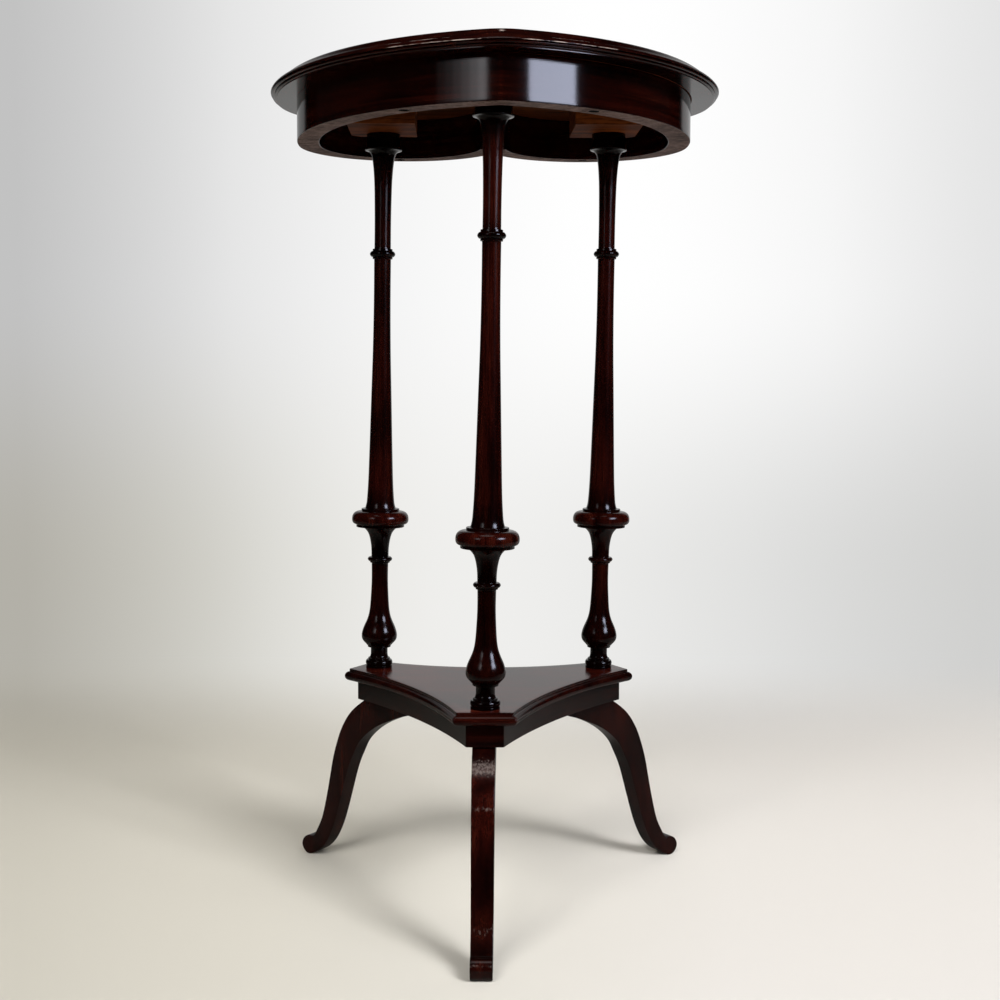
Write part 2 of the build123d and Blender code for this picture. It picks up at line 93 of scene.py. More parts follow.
class TopSizes(bpy.types.PropertyGroup):
    """Sizes of the heart, its moulded edge and its apron."""

    point_reach: size("Point reach", "From the middle of the columns to the apron's front point", 0.1618)
    lobe_offset: size("Lobe offset", "Sideways place of a lobe's centre", 0.084)
    lobe_set_back: size("Lobe set-back", "Backward place of a lobe's centre", 0.069)
    lobe_radius: size("Lobe radius", "Radius of the apron's lobes", 0.0934)
    side_radius: size("Side radius", "Radius of the apron's sides", 0.234)
    turn: angle("Turn", "How far the top is turned on its columns", 2.05)
    overhang: size("Overhang", "How far the board stands out over the apron", 0.0238)
    side_step: size("Side step", "How far the board sits off its apron's middle", 0.001)
    slope_width: size("Slope width", "Width of the sloping edge on the board's top", 0.020)
    apron_thickness: size("Apron thickness", "Thickness of the bent apron", 0.0197)
    notch_joint: size("Notch joint", "Depth of the joint between the lobes", 0.027)
    pocket_radius: size("Pocket radius", "Radius of the screw pockets under the apron", 0.0045)
    pocket_depth: size("Pocket depth", "Depth of the screw pockets", 0.020)
    tip_radius: size("Tip radius", "Rounding of the board's point, at the apron's outside", 0.035)
    notch_softness: size("Notch softness", "Rounding of the board's notch", 0.0007)
    arris_softness: size("Arris softness", "Rounding of the moulded edges", 0.00022)
    # The reach also bounds the painted highlight line along the slope's foot.
    wear_and_highlight_reach: size("Worn reach", "How far the edge's worn line goes to either side of the point", 0.100)


class ColumnSizes(bpy.types.PropertyGroup):
    """Places of the columns and how they stand."""

    circle: size("Column circle", "Distance of the columns from their middle", 0.118)
    lean: angle("Lean", "How far the columns lean to the right", 0.8)
    softness: size("Softness", "Rounding of the turned edges", 0.0003)
    segments: IntProperty(name="Segments", description="Points round a turned column", default=72, min=16)


class StandSizes(bpy.types.PropertyGroup):
    """Sizes of the platform, its frame and the legs."""

    board_reach: size("Board reach", "From the middle to the end of a platform corner", 0.1392)
    board_corner: size("Board corner", "Width of a platform corner", 0.051)
    board_side_hollow: size("Side hollow", "Depth of the two front hollows", 0.014)
    board_back_hollow: size("Back hollow", "Depth of the back hollow", 0.032)
    step_height: size("Step height", "Height of the step above the rounded edge", 0.0024)
    step_width: size("Step width", "Set-in of the step from the rounded edge", 0.0036)
    nose_round: share("Nose round", "Radius of the rounded edge as a share of its height", 0.48)
    frame_reach: size("Frame reach", "From the middle to the end of a frame corner", 0.1315)
    frame_corner: size("Frame corner", "Width of a frame corner", 0.0307)
    frame_side_hollow: size("Frame side hollow", "Depth of the frame's front hollows", 0.010)
    frame_back_hollow: size("Frame back hollow", "Depth of the frame's back hollow", 0.028)
    screw_circle: size("Screw circle", "Distance of the frame's screws from the middle", 0.044)
    screw_head: size("Screw head", "Radius of the holes for the screw heads", 0.0041)
    screw_sink: size("Screw sink", "Depth of the holes for the screw heads", 0.0026)
    leg_reach: size("Leg reach", "From the middle to the tip of a toe", 0.2118)
    leg_width: size("Leg width", "Width of a leg at its root", 0.019)
    foot_width: size("Foot width", "Width of a leg at the floor", 0.0174)
    root_inner: size("Root inner", "Where the leg's root starts", 0.084)
    root_depth: size("Root depth", "Depth of the root's inner end", 0.013)
    toe_radius: size("Toe radius", "Radius of the scrolled toe", 0.0093)
    toe_flat: size("Toe flat", "How much of the toe is worn flat", 0.0004)
    ankle_angle: angle("Ankle angle", "Where the toe's curve meets the leg", 120)
    rear_spread: angle("Rear spread", "Direction of the rear legs from sideways", 33)
    front_spread: angle("Front spread", "Direction of the front leg from sideways", -90.4)
    softness: size("Softness", "Rounding of the sawn edges", 0.0007)


class Finishes(bpy.types.PropertyGroup):
    """Colours of the woods and metal, and the gloss of the old polish."""

    polish: FloatProperty(name="Polish", description="Refractive index of the old polish", default=1.33,
                          min=1.0)
    deep_red: colour("Deep red", "Darkest streaks of the mahogany", (0.0028, 0.0002, 0.0001))
    red_brown: colour("Red brown", "Body colour of the mahogany", (0.0135, 0.0015, 0.0008))
    warm_brown: colour("Warm brown", "Lightest streaks of the mahogany", (0.0290, 0.0050, 0.0024))
    # The worn colour also paints the highlight lines on the board's slope and point and the sheen bands on
    # the legs
    worn: colour("Worn edge", "Wood that shows where the polish has gone", (0.40, 0.33, 0.30))
    raw_dark: colour("Raw dark", "Dark grain of the bare wood", (0.029, 0.0060, 0.0009))
    raw_light: colour("Raw light", "Light grain of the bare wood", (0.142, 0.035, 0.0066))
    sawn_dark: colour("Sawn dark", "Dark grain of the apron's bare edge", (0.050, 0.030, 0.026))
    sawn_light: colour("Sawn light", "Light grain of the apron's bare edge", (0.190, 0.130, 0.115))
    dowel: colour("Dowel", "Pale wood of the dowels", (0.30, 0.17, 0.08))
    steel: colour("Steel", "Dull steel of the screws", (0.22, 0.19, 0.17))


class StudioSettings(bpy.types.PropertyGroup):
    """Camera, lamps and backdrop."""

    lens: FloatProperty(name="Lens", description="Focal length in millimetres", default=53.945)
    shift: FloatProperty(name="Shift", description="Upward shift of the lens", default=-0.00874)
    camera_side: size("Camera side", "Sideways place of the camera from the columns' middle", 0.02193)
    camera_distance: size("Camera distance", "From the camera to the columns' middle", 1.32201)
    camera_height: size("Camera height", "Height of the camera", 0.45921)
    camera_yaw: angle("Yaw", "Turn of the camera to the right", -0.4727)
    camera_pitch: angle("Pitch", "Downward tilt of the camera", 4.253)
    camera_roll: angle("Roll", "Roll of the camera", 0.0319)
    wall_distance: size("Wall distance", "From the origin to the back wall", 1.85)
    right_window: share("Right window", "Brightness of the right window", 21.5)
    left_window: share("Left window", "Brightness of the left window", 4.9)
    curtain: FloatVectorProperty(name="Curtain", description="Light that each left window strip lets in",
                                 default=(1.0, 0.66, 0.40, 0.22, 0.11, 0.05), size=6, min=0.0)
    ceiling: share("Ceiling panel", "Brightness of the panel overhead", 2.4)
    right_light: share("Right light", "Brightness of the main panel, kept out of the polish", 24.0)
    right_spread: share("Right spread", "Brightness of the broad panel round the main one", 2.4)
    left_light: share("Left light", "Brightness of the panel at the front left, kept out of the polish", 10.0)
    fill: share("Fill", "Brightness of the room on dull surfaces", 0.04)
    room: share("Room", "Brightness of the dark room in reflections", 0.01)
    wall_sheen: share("Wall sheen", "Brightness of the back wall in the polish", 0.6)
    floor_sheen: share("Floor sheen", "Brightness of the floor in the polish", 0.29)
    floor_colour: colour("Floor", "Colour of the floor", (0.86, 0.835, 0.745))


# ---------------------------------------------------------------- curves and surfaces
def stand_centre():
    """Middle of the three columns on the floor, from the packed frame under the platform."""
    sizes = bpy.context.scene.table_stand
    return np.array([(frame_low.x + frame_high.x) / 2, frame_low.y + sizes.frame_reach])


def through(points, count):
    """Smooth curve through points: a natural cubic for each coordinate over the length along the points."""
    points = np.asarray(points, float)
    knots = np.concatenate([[0], np.cumsum(np.linalg.norm(np.diff(points, axis=0), axis=1))])
    gap = np.diff(knots)
    inner = len(points) - 2
    system = np.eye(inner + 2)
    known = np.zeros_like(points)
    rows = np.arange(1, inner + 1)
    system[rows, rows] = 2 * (gap[:-1] + gap[1:])
    system[rows, rows - 1] = gap[:-1]
    system[rows, rows + 1] = gap[1:]
    known[rows] = 6 * np.diff(np.diff(points, axis=0) / gap[:, None], axis=0)
    bend = np.linalg.solve(system, known)
    along = np.linspace(0, knots[-1], count)
    k = np.clip(np.searchsorted(knots, along, side="right") - 1, 0, inner)
    h = gap[k][:, None]
    a = (knots[k + 1] - along)[:, None] / h
    b = 1 - a
    return (a * points[k] + b * points[k + 1]
            + ((a ** 3 - a) * bend[k] + (b ** 3 - b) * bend[k + 1]) * h ** 2 / 6)


def soften(lines, radius, closed, steps=5):
    """Round the corners of polylines that share a layout: a quadratic curve joins the points on both sides
    of a corner that are the radius away from it."""
    before = np.roll(lines, 1, axis=-2) - lines
    after = np.roll(lines, -1, axis=-2) - lines
    before_length = np.linalg.norm(before, axis=-1, keepdims=True) + 1e-12
    after_length = np.linalg.norm(after, axis=-1, keepdims=True) + 1e-12
    start = lines + before * np.minimum(radius / before_length, 1 / 3)
    end = lines + after * np.minimum(radius / after_length, 1 / 3)
    turn = 1 + (before * after).sum(-1) / (before_length * after_length)[..., 0]
    corner = turn.reshape(-1, lines.shape[-2]).max(0) > 0.04
    if not closed:
        corner[[0, -1]] = False
    t = np.linspace(0, 1, steps)[:, None]
    curve = ((1 - t) ** 2 * start[..., None, :] + 2 * t * (1 - t) * lines[..., None, :]
             + t ** 2 * end[..., None, :])
    curve[..., ~corner, steps // 2, :] = lines[..., ~corner, :]
    keep = corner[:, None] | (np.arange(steps) == steps // 2)
    shape = lines.shape[:-2] + (lines.shape[-2] * steps, lines.shape[-1])
    return curve.reshape(shape)[..., keep.ravel(), :]


def arc(start, end, bulge, count=9):
    """Points of a shallow bow from start to end: a parabola that stands out by bulge at its middle."""
    t = np.linspace(0, 1, count)[:, None]
    start, end = np.asarray(start, float), np.asarray(end, float)
    chord = end - start
    out = np.array([chord[1], -chord[0]]) / np.linalg.norm(chord)
    return start + t * chord + 4 * t * (1 - t) * bulge * out


def bezier(start, control, end, count=12):
    """Quadratic curve from start to end that is pulled towards the control point."""
    t = np.linspace(0, 1, count)[:, None]
    return (1 - t) ** 2 * np.array(start) + 2 * t * (1 - t) * np.array(control) + t ** 2 * np.array(end)


def bell(values, middle, spread):
    """Bell curve that is 1 at the middle and falls off with the square of the distance over the spread."""
    return np.exp(-((values - middle) / spread) ** 2)


def around(angle):
    """Unit vector in plan at an angle, or one for each of many angles."""
    return np.stack([np.cos(angle), np.sin(angle)], axis=-1)


def finish_mesh(name, vertices, faces, material_of_face=None, marks=None, sharp=35):
    """Object with this mesh, its faces turned outwards and its edges sharp only where they bend a lot; marks
    are values at the vertices that materials read by name."""
    mesh = bpy.data.meshes.new(name)
    mesh.from_pydata(vertices.tolist(), [], faces)
    if material_of_face is not None:
        mesh.polygons.foreach_set("material_index", np.asarray(material_of_face, np.int32))
    for mark, values in (marks or {}).items():
        mesh.attributes.new(mark, "FLOAT", "POINT").data.foreach_set("value", values.astype(np.float32))
    form = bmesh.new()
    form.from_mesh(mesh)
    bmesh.ops.remove_doubles(form, verts=form.verts, dist=1e-7)
    bmesh.ops.recalc_face_normals(form, faces=form.faces)
    form.to_mesh(mesh)
    form.free()
    mesh.polygons.foreach_set("use_smooth", np.ones(len(mesh.polygons), bool))
    mesh.set_sharp_from_angle(angle=math.radians(sharp))
    piece = bpy.data.objects.new(name, mesh)
    bpy.context.scene.collection.objects.link(piece)
    return piece


def skin(name, grid, row_material=None, marks=None, sharp=35):
    """Closed surface over a grid whose rows are rings: neighbouring rings are joined by quads, and the first
    and last rings are closed by a fan to their middle."""
    rows, columns = grid.shape[:2]
    index = np.arange(rows * columns).reshape(rows, columns)
    beside = np.roll(index, -1, axis=1)
    quads = np.stack([index[:-1], beside[:-1], beside[1:], index[1:]], axis=-1).reshape(-1, 4)
    poles = np.array([grid[0].mean(0), grid[-1].mean(0)])
    vertices = np.concatenate([grid.reshape(-1, 3), poles])
    start = np.stack([beside[0], index[0], np.full(columns, rows * columns)], axis=-1)
    end = np.stack([index[-1], beside[-1], np.full(columns, rows * columns + 1)], axis=-1)
    faces = quads.tolist() + start.tolist() + end.tolist()
    of_face = None
    if row_material is not None:
        band = np.repeat(np.asarray(row_material)[:-1], columns)
        of_face = np.concatenate([band, np.repeat(np.asarray(row_material)[[0, -1]], columns)])
    marks = {mark: np.concatenate([np.broadcast_to(values, (rows, columns)).ravel(),
                                   [np.min(values[0]), np.min(values[-1])]])
             for mark, values in (marks or {}).items()}
    return finish_mesh(name, vertices, faces, of_face, marks, sharp)


def cut_holes(piece, places, radius, low, high):
    """Sink round holes into a piece: upright cylinders at these places, from low to high, are taken away."""
    circle = radius * around(np.linspace(0, 2 * math.pi, 33)[:-1])
    for place in places:
        ring = circle + place
        grid = np.stack([np.column_stack([ring, np.full(len(ring), level)]) for level in (low, high)])
        cutter = skin(piece.name + "_cutter", grid)
        for material in piece.data.materials:
            cutter.data.materials.append(material)
        cut = piece.modifiers.new("hole", "BOOLEAN")
        cut.operation = "DIFFERENCE"
        cut.object = cutter
        cut.solver = "EXACT"
        bpy.context.view_layer.update()
        finished = piece.evaluated_get(bpy.context.evaluated_depsgraph_get())
        finished = bpy.data.meshes.new_from_object(finished)
        piece.modifiers.clear()
        piece.data = finished
        bpy.data.objects.remove(cutter)
    piece.data.name = piece.name


def settle(piece, slot, replaced, *materials):
    """Give a piece its materials, hang it under the root body, and hide the CAD nodes that it stands for."""
    if not piece.data.materials:
        for material in materials:
            piece.data.materials.append(material)
    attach(piece, "root")
    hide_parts(*replaced)


# ---------------------------------------------------------------- heart
def heart_sides():
    """Centre of the right side arc, and the direction in which it meets the lobe: the side arc passes the
    point and touches the lobe circle from outside, so the centres are the radii's difference apart."""
    top = bpy.context.scene.table_top
    across = np.array([top.lobe_offset, top.lobe_set_back + top.point_reach])
    reach = np.linalg.norm(across)
    unit = across / reach
    along = (top.side_radius ** 2 - (top.side_radius - top.lobe_radius) ** 2 + reach ** 2) / (2 * reach)
    aside = math.sqrt(top.side_radius ** 2 - along ** 2)
    centre = np.array([0, -top.point_reach]) + unit * along + np.array([-unit[1], unit[0]]) * aside
    lobe = np.array([top.lobe_offset, top.lobe_set_back])
    return centre, math.atan2(lobe[1] - centre[1], lobe[0] - centre[0])


def heart_half(offsets, tip=0.0, lobe_limit=math.pi, side_steps=110, lobe_steps=90):
    """Right half of lines parallel to the apron's outside, one row for each offset: an arc about the side's
    centre from the middle plane to the junction, then an arc about the lobe's centre to the middle plane.
    With a tip radius, an arc about a centre on the middle plane leads into the side arc and touches it."""
    top = bpy.context.scene.table_top
    centre, junction = heart_sides()
    offsets = np.asarray(offsets, float)[:, None]
    side = top.side_radius + offsets
    lobe = top.lobe_radius + offsets
    first = -np.arccos(-centre[0] / side)
    nose_x = nose_y = np.zeros((len(offsets), 0))
    if tip:
        nose = centre[1] - math.sqrt((top.side_radius - tip) ** 2 - centre[0] ** 2)
        first = np.full_like(side, math.atan2(nose - centre[1], -centre[0]))
        c = -math.pi / 2 + (first + math.pi / 2) * np.linspace(0, 1, 12)[:-1]
        nose_x = (tip + offsets) * np.cos(c)
        nose_y = nose + (tip + offsets) * np.sin(c)
    last = np.minimum(math.pi - np.arccos(np.minimum(top.lobe_offset / lobe, 1)), lobe_limit)
    a = first + (junction - first) * np.linspace(0, 1, side_steps)
    b = junction + (last - junction) * np.linspace(0, 1, lobe_steps)[1:]
    x = np.concatenate([nose_x, centre[0] + side * np.cos(a), top.lobe_offset + lobe * np.cos(b)], axis=1)
    y = np.concatenate([nose_y, centre[1] + side * np.sin(a), top.lobe_set_back + lobe * np.sin(b)], axis=1)
    return np.stack([x, y], axis=-1)


def heart_rings(offsets, tip):
    """Whole heart lines parallel to the apron's outside: the right half and its mirror image, once round."""
    right = heart_half(offsets, tip)
    left = right[:, -2:0:-1] * [-1, 1]
    return np.concatenate([right, left], axis=1)


def on_top(points, step=0.0):
    """Move points of the top from its own middle to its place: turned, and shifted by the columns' lean."""
    top = bpy.context.scene.table_top
    lean = bpy.context.scene.table_columns.lean
    cos, sin = math.cos(top.turn), math.sin(top.turn)
    x, y, z = np.moveaxis(points + [step, 0, 0], -1, 0)
    shift = (block_low.z - shelf_high.z) * math.tan(lean)
    centre = stand_centre()
    return np.stack([x * cos - y * sin + shift + centre[0], x * sin + y * cos + centre[1], z], axis=-1)


def filled(rings):
    """Rings with two smaller copies of the first before them and of the last after them, shrunk to the
    origin, which fill the flat faces."""
    shrink = np.array([0.02, 0.5])[:, None, None]
    return np.concatenate([rings[0] * shrink, rings, rings[-1] * shrink[::-1]])


def raised(rings, heights):
    """Rings in plan with a height for each row."""
    level = np.broadcast_to(np.asarray(heights, float)[:, None, None], rings.shape[:2] + (1,))
    return np.concatenate([rings, level], axis=-1)


# The slope as shares of its width and height, then the set-in, height and bulge of the edge's other members
slope_shares = ((0.0, 0.0), (0.055, 0.14), (0.2, 0.33), (0.4, 0.59), (0.575, 0.83), (0.675, 0.93),
                (0.82, 0.985), (1.0, 1.0))
fillet_in, fillet_up = 0.0052, 0.0008
small_in, small_up, small_out = 0.0042, 0.0018, 0.0009
large_in, large_up, large_out = 0.0021, 0.0020, 0.0011
quirk_in, quirk_up, arris_up = 0.0026, 0.0004, 0.0004
# The rubbed line on the arris and the painted highlight line along the slope's foot as (height or set-in,
# spread), then the strengths of that painted line and of the painted highlight spot at the point, and how far
# the spot reaches
arris_rub, ridge_highlight_line = (0.0052, 0.0008), (0.0036, 0.0006)
ridge_highlight_strength, tip_highlight_strength, tip_highlight_spread = 1.04, 0.9, 0.008


def board_edge():
    """Section of the moulded edge as (set-in, height) from the underside up: a fillet, two reeds, a quirk,
    an arris and a long slope."""
    top = bpy.context.scene.table_top
    levels = board_low.z + np.cumsum([0, fillet_up, small_up, large_up, quirk_up, arris_up])
    arris = levels[-1]
    slope = [(top.slope_width * across, arris + (board_high.z - arris) * up) for across, up in slope_shares]
    line = [
        [(fillet_in, levels[0]), (fillet_in, levels[1])],
        arc((small_in, levels[1]), (small_in, levels[2]), -small_out),
        arc((large_in, levels[2]), (large_in, levels[3]), -large_out),
        [(quirk_in, levels[3]), (quirk_in, levels[4]), (0, levels[4])],
        through(slope, 26),
    ]
    return soften(np.concatenate(line), top.arris_softness, closed=False)


# ---------------------------------------------------------------- materials
def put(tree, kind, sockets=None, **settings):
    """Add a node: sockets maps an input's name or number to a value or to another node's output."""
    node = tree.nodes.new(kind)
    for key, value in settings.items():
        setattr(node, key, value)
    for key, value in (sockets or {}).items():
        if isinstance(value, bpy.types.NodeSocket):
            tree.links.new(value, node.inputs[key])
        else:
            node.inputs[key].default_value = value
    return node


def sums(tree, operation, first, second=0.5, third=0.5, clamp=False):
    """Output of a math node."""
    return put(tree, "ShaderNodeMath", {0: first, 1: second, 2: third}, operation=operation,
               use_clamp=clamp).outputs[0]


def between(tree, value, low, high, smooth=False, far_value=1.0, near_value=0.0):
    """Output that goes from the near value to the far value while the input goes from low to high."""
    return put(tree, "ShaderNodeMapRange", {"Value": value, "From Min": low, "From Max": high,
                                            "To Min": near_value, "To Max": far_value},
               interpolation_type="SMOOTHSTEP" if smooth else "LINEAR").outputs[0]


def ramp(tree, factor, stops, interpolation="LINEAR"):
    """Output of a colour ramp with these (place, colour or grey) stops."""
    node = put(tree, "ShaderNodeValToRGB", {0: factor})
    node.color_ramp.interpolation = interpolation
    elements = node.color_ramp.elements
    while len(elements) < len(stops):
        elements.new(0.5)
    for element, (place, value) in zip(elements, stops):
        element.position = place
        grey = isinstance(value, (int, float))
        element.color = (value, value, value, 1) if grey else (*value, 1)
    return node.outputs[0]


def mixed(tree, factor, first, second, blend="MIX"):
    """Colour output that blends two colours."""
    node = put(tree, "ShaderNodeMix", data_type="RGBA", blend_type=blend)
    for key, value in ((0, factor), (6, first), (7, second)):
        if isinstance(value, bpy.types.NodeSocket):
            tree.links.new(value, node.inputs[key])
        elif key == 0:
            node.inputs[key].default_value = value
        else:
            node.inputs[key].default_value = (*value, 1)
    return node.outputs[2]


def new_material(name):
    """Empty material with a shader on its output, and its object coordinates."""
    material = bpy.data.materials.new(name)
    material.use_nodes = True
    tree = material.node_tree
    tree.nodes.clear()
    shader = put(tree, "ShaderNodeBsdfPrincipled")
    put(tree, "ShaderNodeOutputMaterial", {0: shader.outputs[0]})
    return material, tree, shader, put(tree, "ShaderNodeTexCoord").outputs["Object"]


def stretched_noise(tree, place, scale, detail=6.0, roughness=0.6, distortion=0.0):
    """Noise whose pattern is drawn out along the axes with a small scale."""
    mapped = put(tree, "ShaderNodeMapping", {"Vector": place, "Scale": scale}).outputs[0]
    noise = put(tree, "ShaderNodeTexNoise", {"Vector": mapped, "Scale": 1.0, "Detail": detail,
                                             "Roughness": roughness, "Distortion": distortion})
    return noise.outputs["Fac"]


def polished_wood(name, figure, pores, glow=1.0, wear_and_sheen=None, patina_and_shading=False, gloss=0.16, relief=0.10,
                  bareness=1.0):
    """French-polished mahogany: drawn-out figure from deep red to warm brown, fine dark pores, cloudy old
    polish, colour that a vertex attribute scales with patina and with painted light and shade, and pale bare
    wood, which also paints highlights and sheen, where a vertex attribute for wear and sheen and a broken
    noise of the given scale say so."""
    colours = bpy.context.scene.table_finishes
    material, tree, shader, place = new_material(name)
    streaks = stretched_noise(tree, place, figure, 8.0, 0.62, 0.6)
    lines = stretched_noise(tree, place, pores, 3.0, 0.7)
    clouds = stretched_noise(tree, place, (9.0, 9.0, 9.0), 4.0, 0.55)
    wood = ramp(tree, streaks, ((0.30, tuple(colours.deep_red)), (0.52, tuple(colours.red_brown)),
                                (0.74, tuple(colours.warm_brown))))
    dark_lines = ramp(tree, lines, ((0.36, 0.35), (0.55, 1.0)))
    wood = mixed(tree, 1.0, wood, dark_lines, "MULTIPLY")
    shade = ramp(tree, clouds, ((0.32, 0.3 * glow), (0.68, 1.7 * glow)))
    wood = mixed(tree, 1.0, wood, shade, "MULTIPLY")
    # Patina and painted light and shade: a value at the vertices makes the wood darker where shade falls and
    # lighter where light falls
    if patina_and_shading:
        patina_and_shading_factor = put(tree, "ShaderNodeAttribute", attribute_name="patina_and_shading").outputs["Fac"]
        wood = mixed(tree, 1.0, wood, patina_and_shading_factor, "MULTIPLY")
    rough = sums(tree, "MULTIPLY_ADD", clouds, 0.10, gloss - 0.05)
    fine = stretched_noise(tree, place, tuple(4 * value for value in pores), 2.0)
    height = sums(tree, "ADD", sums(tree, "MULTIPLY", lines, 0.6), sums(tree, "MULTIPLY", fine, 0.4))
    if wear_and_sheen:
        amount = put(tree, "ShaderNodeAttribute", attribute_name="wear_and_sheen").outputs["Fac"]
        broken = stretched_noise(tree, place, wear_and_sheen, 5.0, 0.7)
        # Bare wood and painted highlights where the amount and 1.6 times the noise add up to more than 1.62,
        # with a soft border
        mask = sums(tree, "MULTIPLY_ADD", broken, 1.6, sums(tree, "SUBTRACT", amount, 1.62))
        mask = sums(tree, "MULTIPLY", mask, 3.2, clamp=True)
        mask = sums(tree, "MULTIPLY", mask, bareness)
        wood = mixed(tree, mask, wood, tuple(colours.worn))
        rough = sums(tree, "MULTIPLY_ADD", mask, 0.35, rough)
        height = sums(tree, "SUBTRACT", height, mask)
    bump = put(tree, "ShaderNodeBump", {"Strength": relief, "Distance": 0.0004, "Height": height})
    tree.links.new(wood, shader.inputs["Base Color"])
    tree.links.new(rough, shader.inputs["Roughness"])
    tree.links.new(bump.outputs[0], shader.inputs["Normal"])
    shader.inputs["IOR"].default_value = colours.polish
    return material


def bare_wood(name, dark, light, grain, roughness=0.62):
    """Unpolished wood: light and dark grain, coarse pores and a matte surface."""
    material, tree, shader, place = new_material(name)
    streaks = stretched_noise(tree, place, grain, 7.0, 0.65, 0.4)
    stain = stretched_noise(tree, place, (22.0, 22.0, 22.0), 3.0)
    pores = stretched_noise(tree, place, tuple(5 * value for value in grain), 2.0, 0.6)
    wood = ramp(tree, streaks, ((0.32, tuple(dark)), (0.68, tuple(light))))
    wood = mixed(tree, 1.0, wood, ramp(tree, stain, ((0.3, 0.6), (0.65, 1.1))), "MULTIPLY")
    wood = mixed(tree, 1.0, wood, ramp(tree, pores, ((0.34, 0.45), (0.48, 1.0))), "MULTIPLY")
    bump = put(tree, "ShaderNodeBump", {"Strength": 0.35, "Distance": 0.0005, "Height": pores})
    tree.links.new(wood, shader.inputs["Base Color"])
    tree.links.new(bump.outputs[0], shader.inputs["Normal"])
    shader.inputs["Roughness"].default_value = roughness
    shader.inputs["Specular IOR Level"].default_value = 0.03
    return material


def old_steel(name):
    """Dull steel of old screws, with brown stains."""
    colours = bpy.context.scene.table_finishes
    material, tree, shader, place = new_material(name)
    stain = stretched_noise(tree, place, (700.0, 700.0, 700.0), 4.0)
    metal = ramp(tree, stain, ((0.4, tuple(colours.steel)), (0.7, tuple(colours.raw_dark))))
    tree.links.new(metal, shader.inputs["Base Color"])
    tree.links.new(ramp(tree, stain, ((0.3, 0.3), (0.7, 0.7))), shader.inputs["Roughness"])
    shader.inputs["Metallic"].default_value = 0.9
    return material


# ---------------------------------------------------------------- operators
class SIDETABLE_OT_board(bpy.types.Operator):
    """Make the heart-shaped top board with its moulded edge"""

    bl_idname = "sidetable.board"
    bl_label = "Top Board"

    def execute(self, context):
        """Rings parallel to the heart's outline follow the edge's section, and the flat faces shrink to the
        middle. The rubbed line on the arris and the painted highlights along the slope's foot and at the
        point are bell curves over height, set-in or the way across."""
        top = context.scene.table_top
        edge = board_edge()
        offsets = top.overhang - edge[:, 0]
        rings = heart_rings(np.concatenate([[0.0], offsets]), top.tip_radius)
        rings = soften(rings, top.notch_softness, closed=True)
        middle = np.array([0.0, top.lobe_set_back / 2])
        plan = middle + filled(rings - middle)
        heights = np.concatenate([[board_low.z] * 3, edge[:, 1], [board_high.z] * 2])
        grid = on_top(raised(plan, heights), top.side_step)
        material = np.zeros(len(grid), int)
        material[:2] = 1
        set_in = np.concatenate([[1] * 3, edge[:, 0], [1] * 2])
        # The lower arris is rubbed on its edge; a painted highlight line runs along the slope's foot above
        # the reeds, and a painted highlight spot sits on the slope at the point
        across = np.abs(plan[:, :, 0])
        above_reeds = heights > board_low.z + 0.006
        arris = bell(heights - board_low.z, *arris_rub) * (set_in < 0.0012)
        slope_foot_highlight = ridge_highlight_strength * bell(set_in, *ridge_highlight_line) * above_reeds
        slope = np.interp(set_in, (0.006, 0.009, 0.014, 0.020), (0, 1, 1, 0))[:, None]
        tip = bell(across, 0, tip_highlight_spread) * slope * (plan[:, :, 1] < 0)
        worn = np.maximum(np.maximum(arris, slope_foot_highlight)[:, None], tip_highlight_strength * tip)
        near = np.clip((top.wear_and_highlight_reach - across) / 0.012, 0, 1)
        beside_point = np.maximum(np.clip(across / 0.016, 0.35, 1), tip)
        piece = skin("heart_board", grid, material, {"wear_and_sheen": worn * near * beside_point})
        board_wood = polished_wood("board_mahogany", (9.0, 150.0, 150.0), (30.0, 900.0, 900.0),
                                   wear_and_sheen=(70.0, 70.0, 160.0))
        colours = context.scene.table_finishes
        bare = bare_wood("bare_underside", [0.6 * value for value in colours.raw_dark],
                         [0.6 * value for value in colours.raw_light], (14.0, 160.0, 160.0))
        settle(piece, "polished_mahogany", ["top_board"], board_wood, bare)
        return {"FINISHED"}


apron_arris = 0.0004
mitre_highlight = 1.7  # painted highlight: the colour is lighter where the apron's halves meet at the point
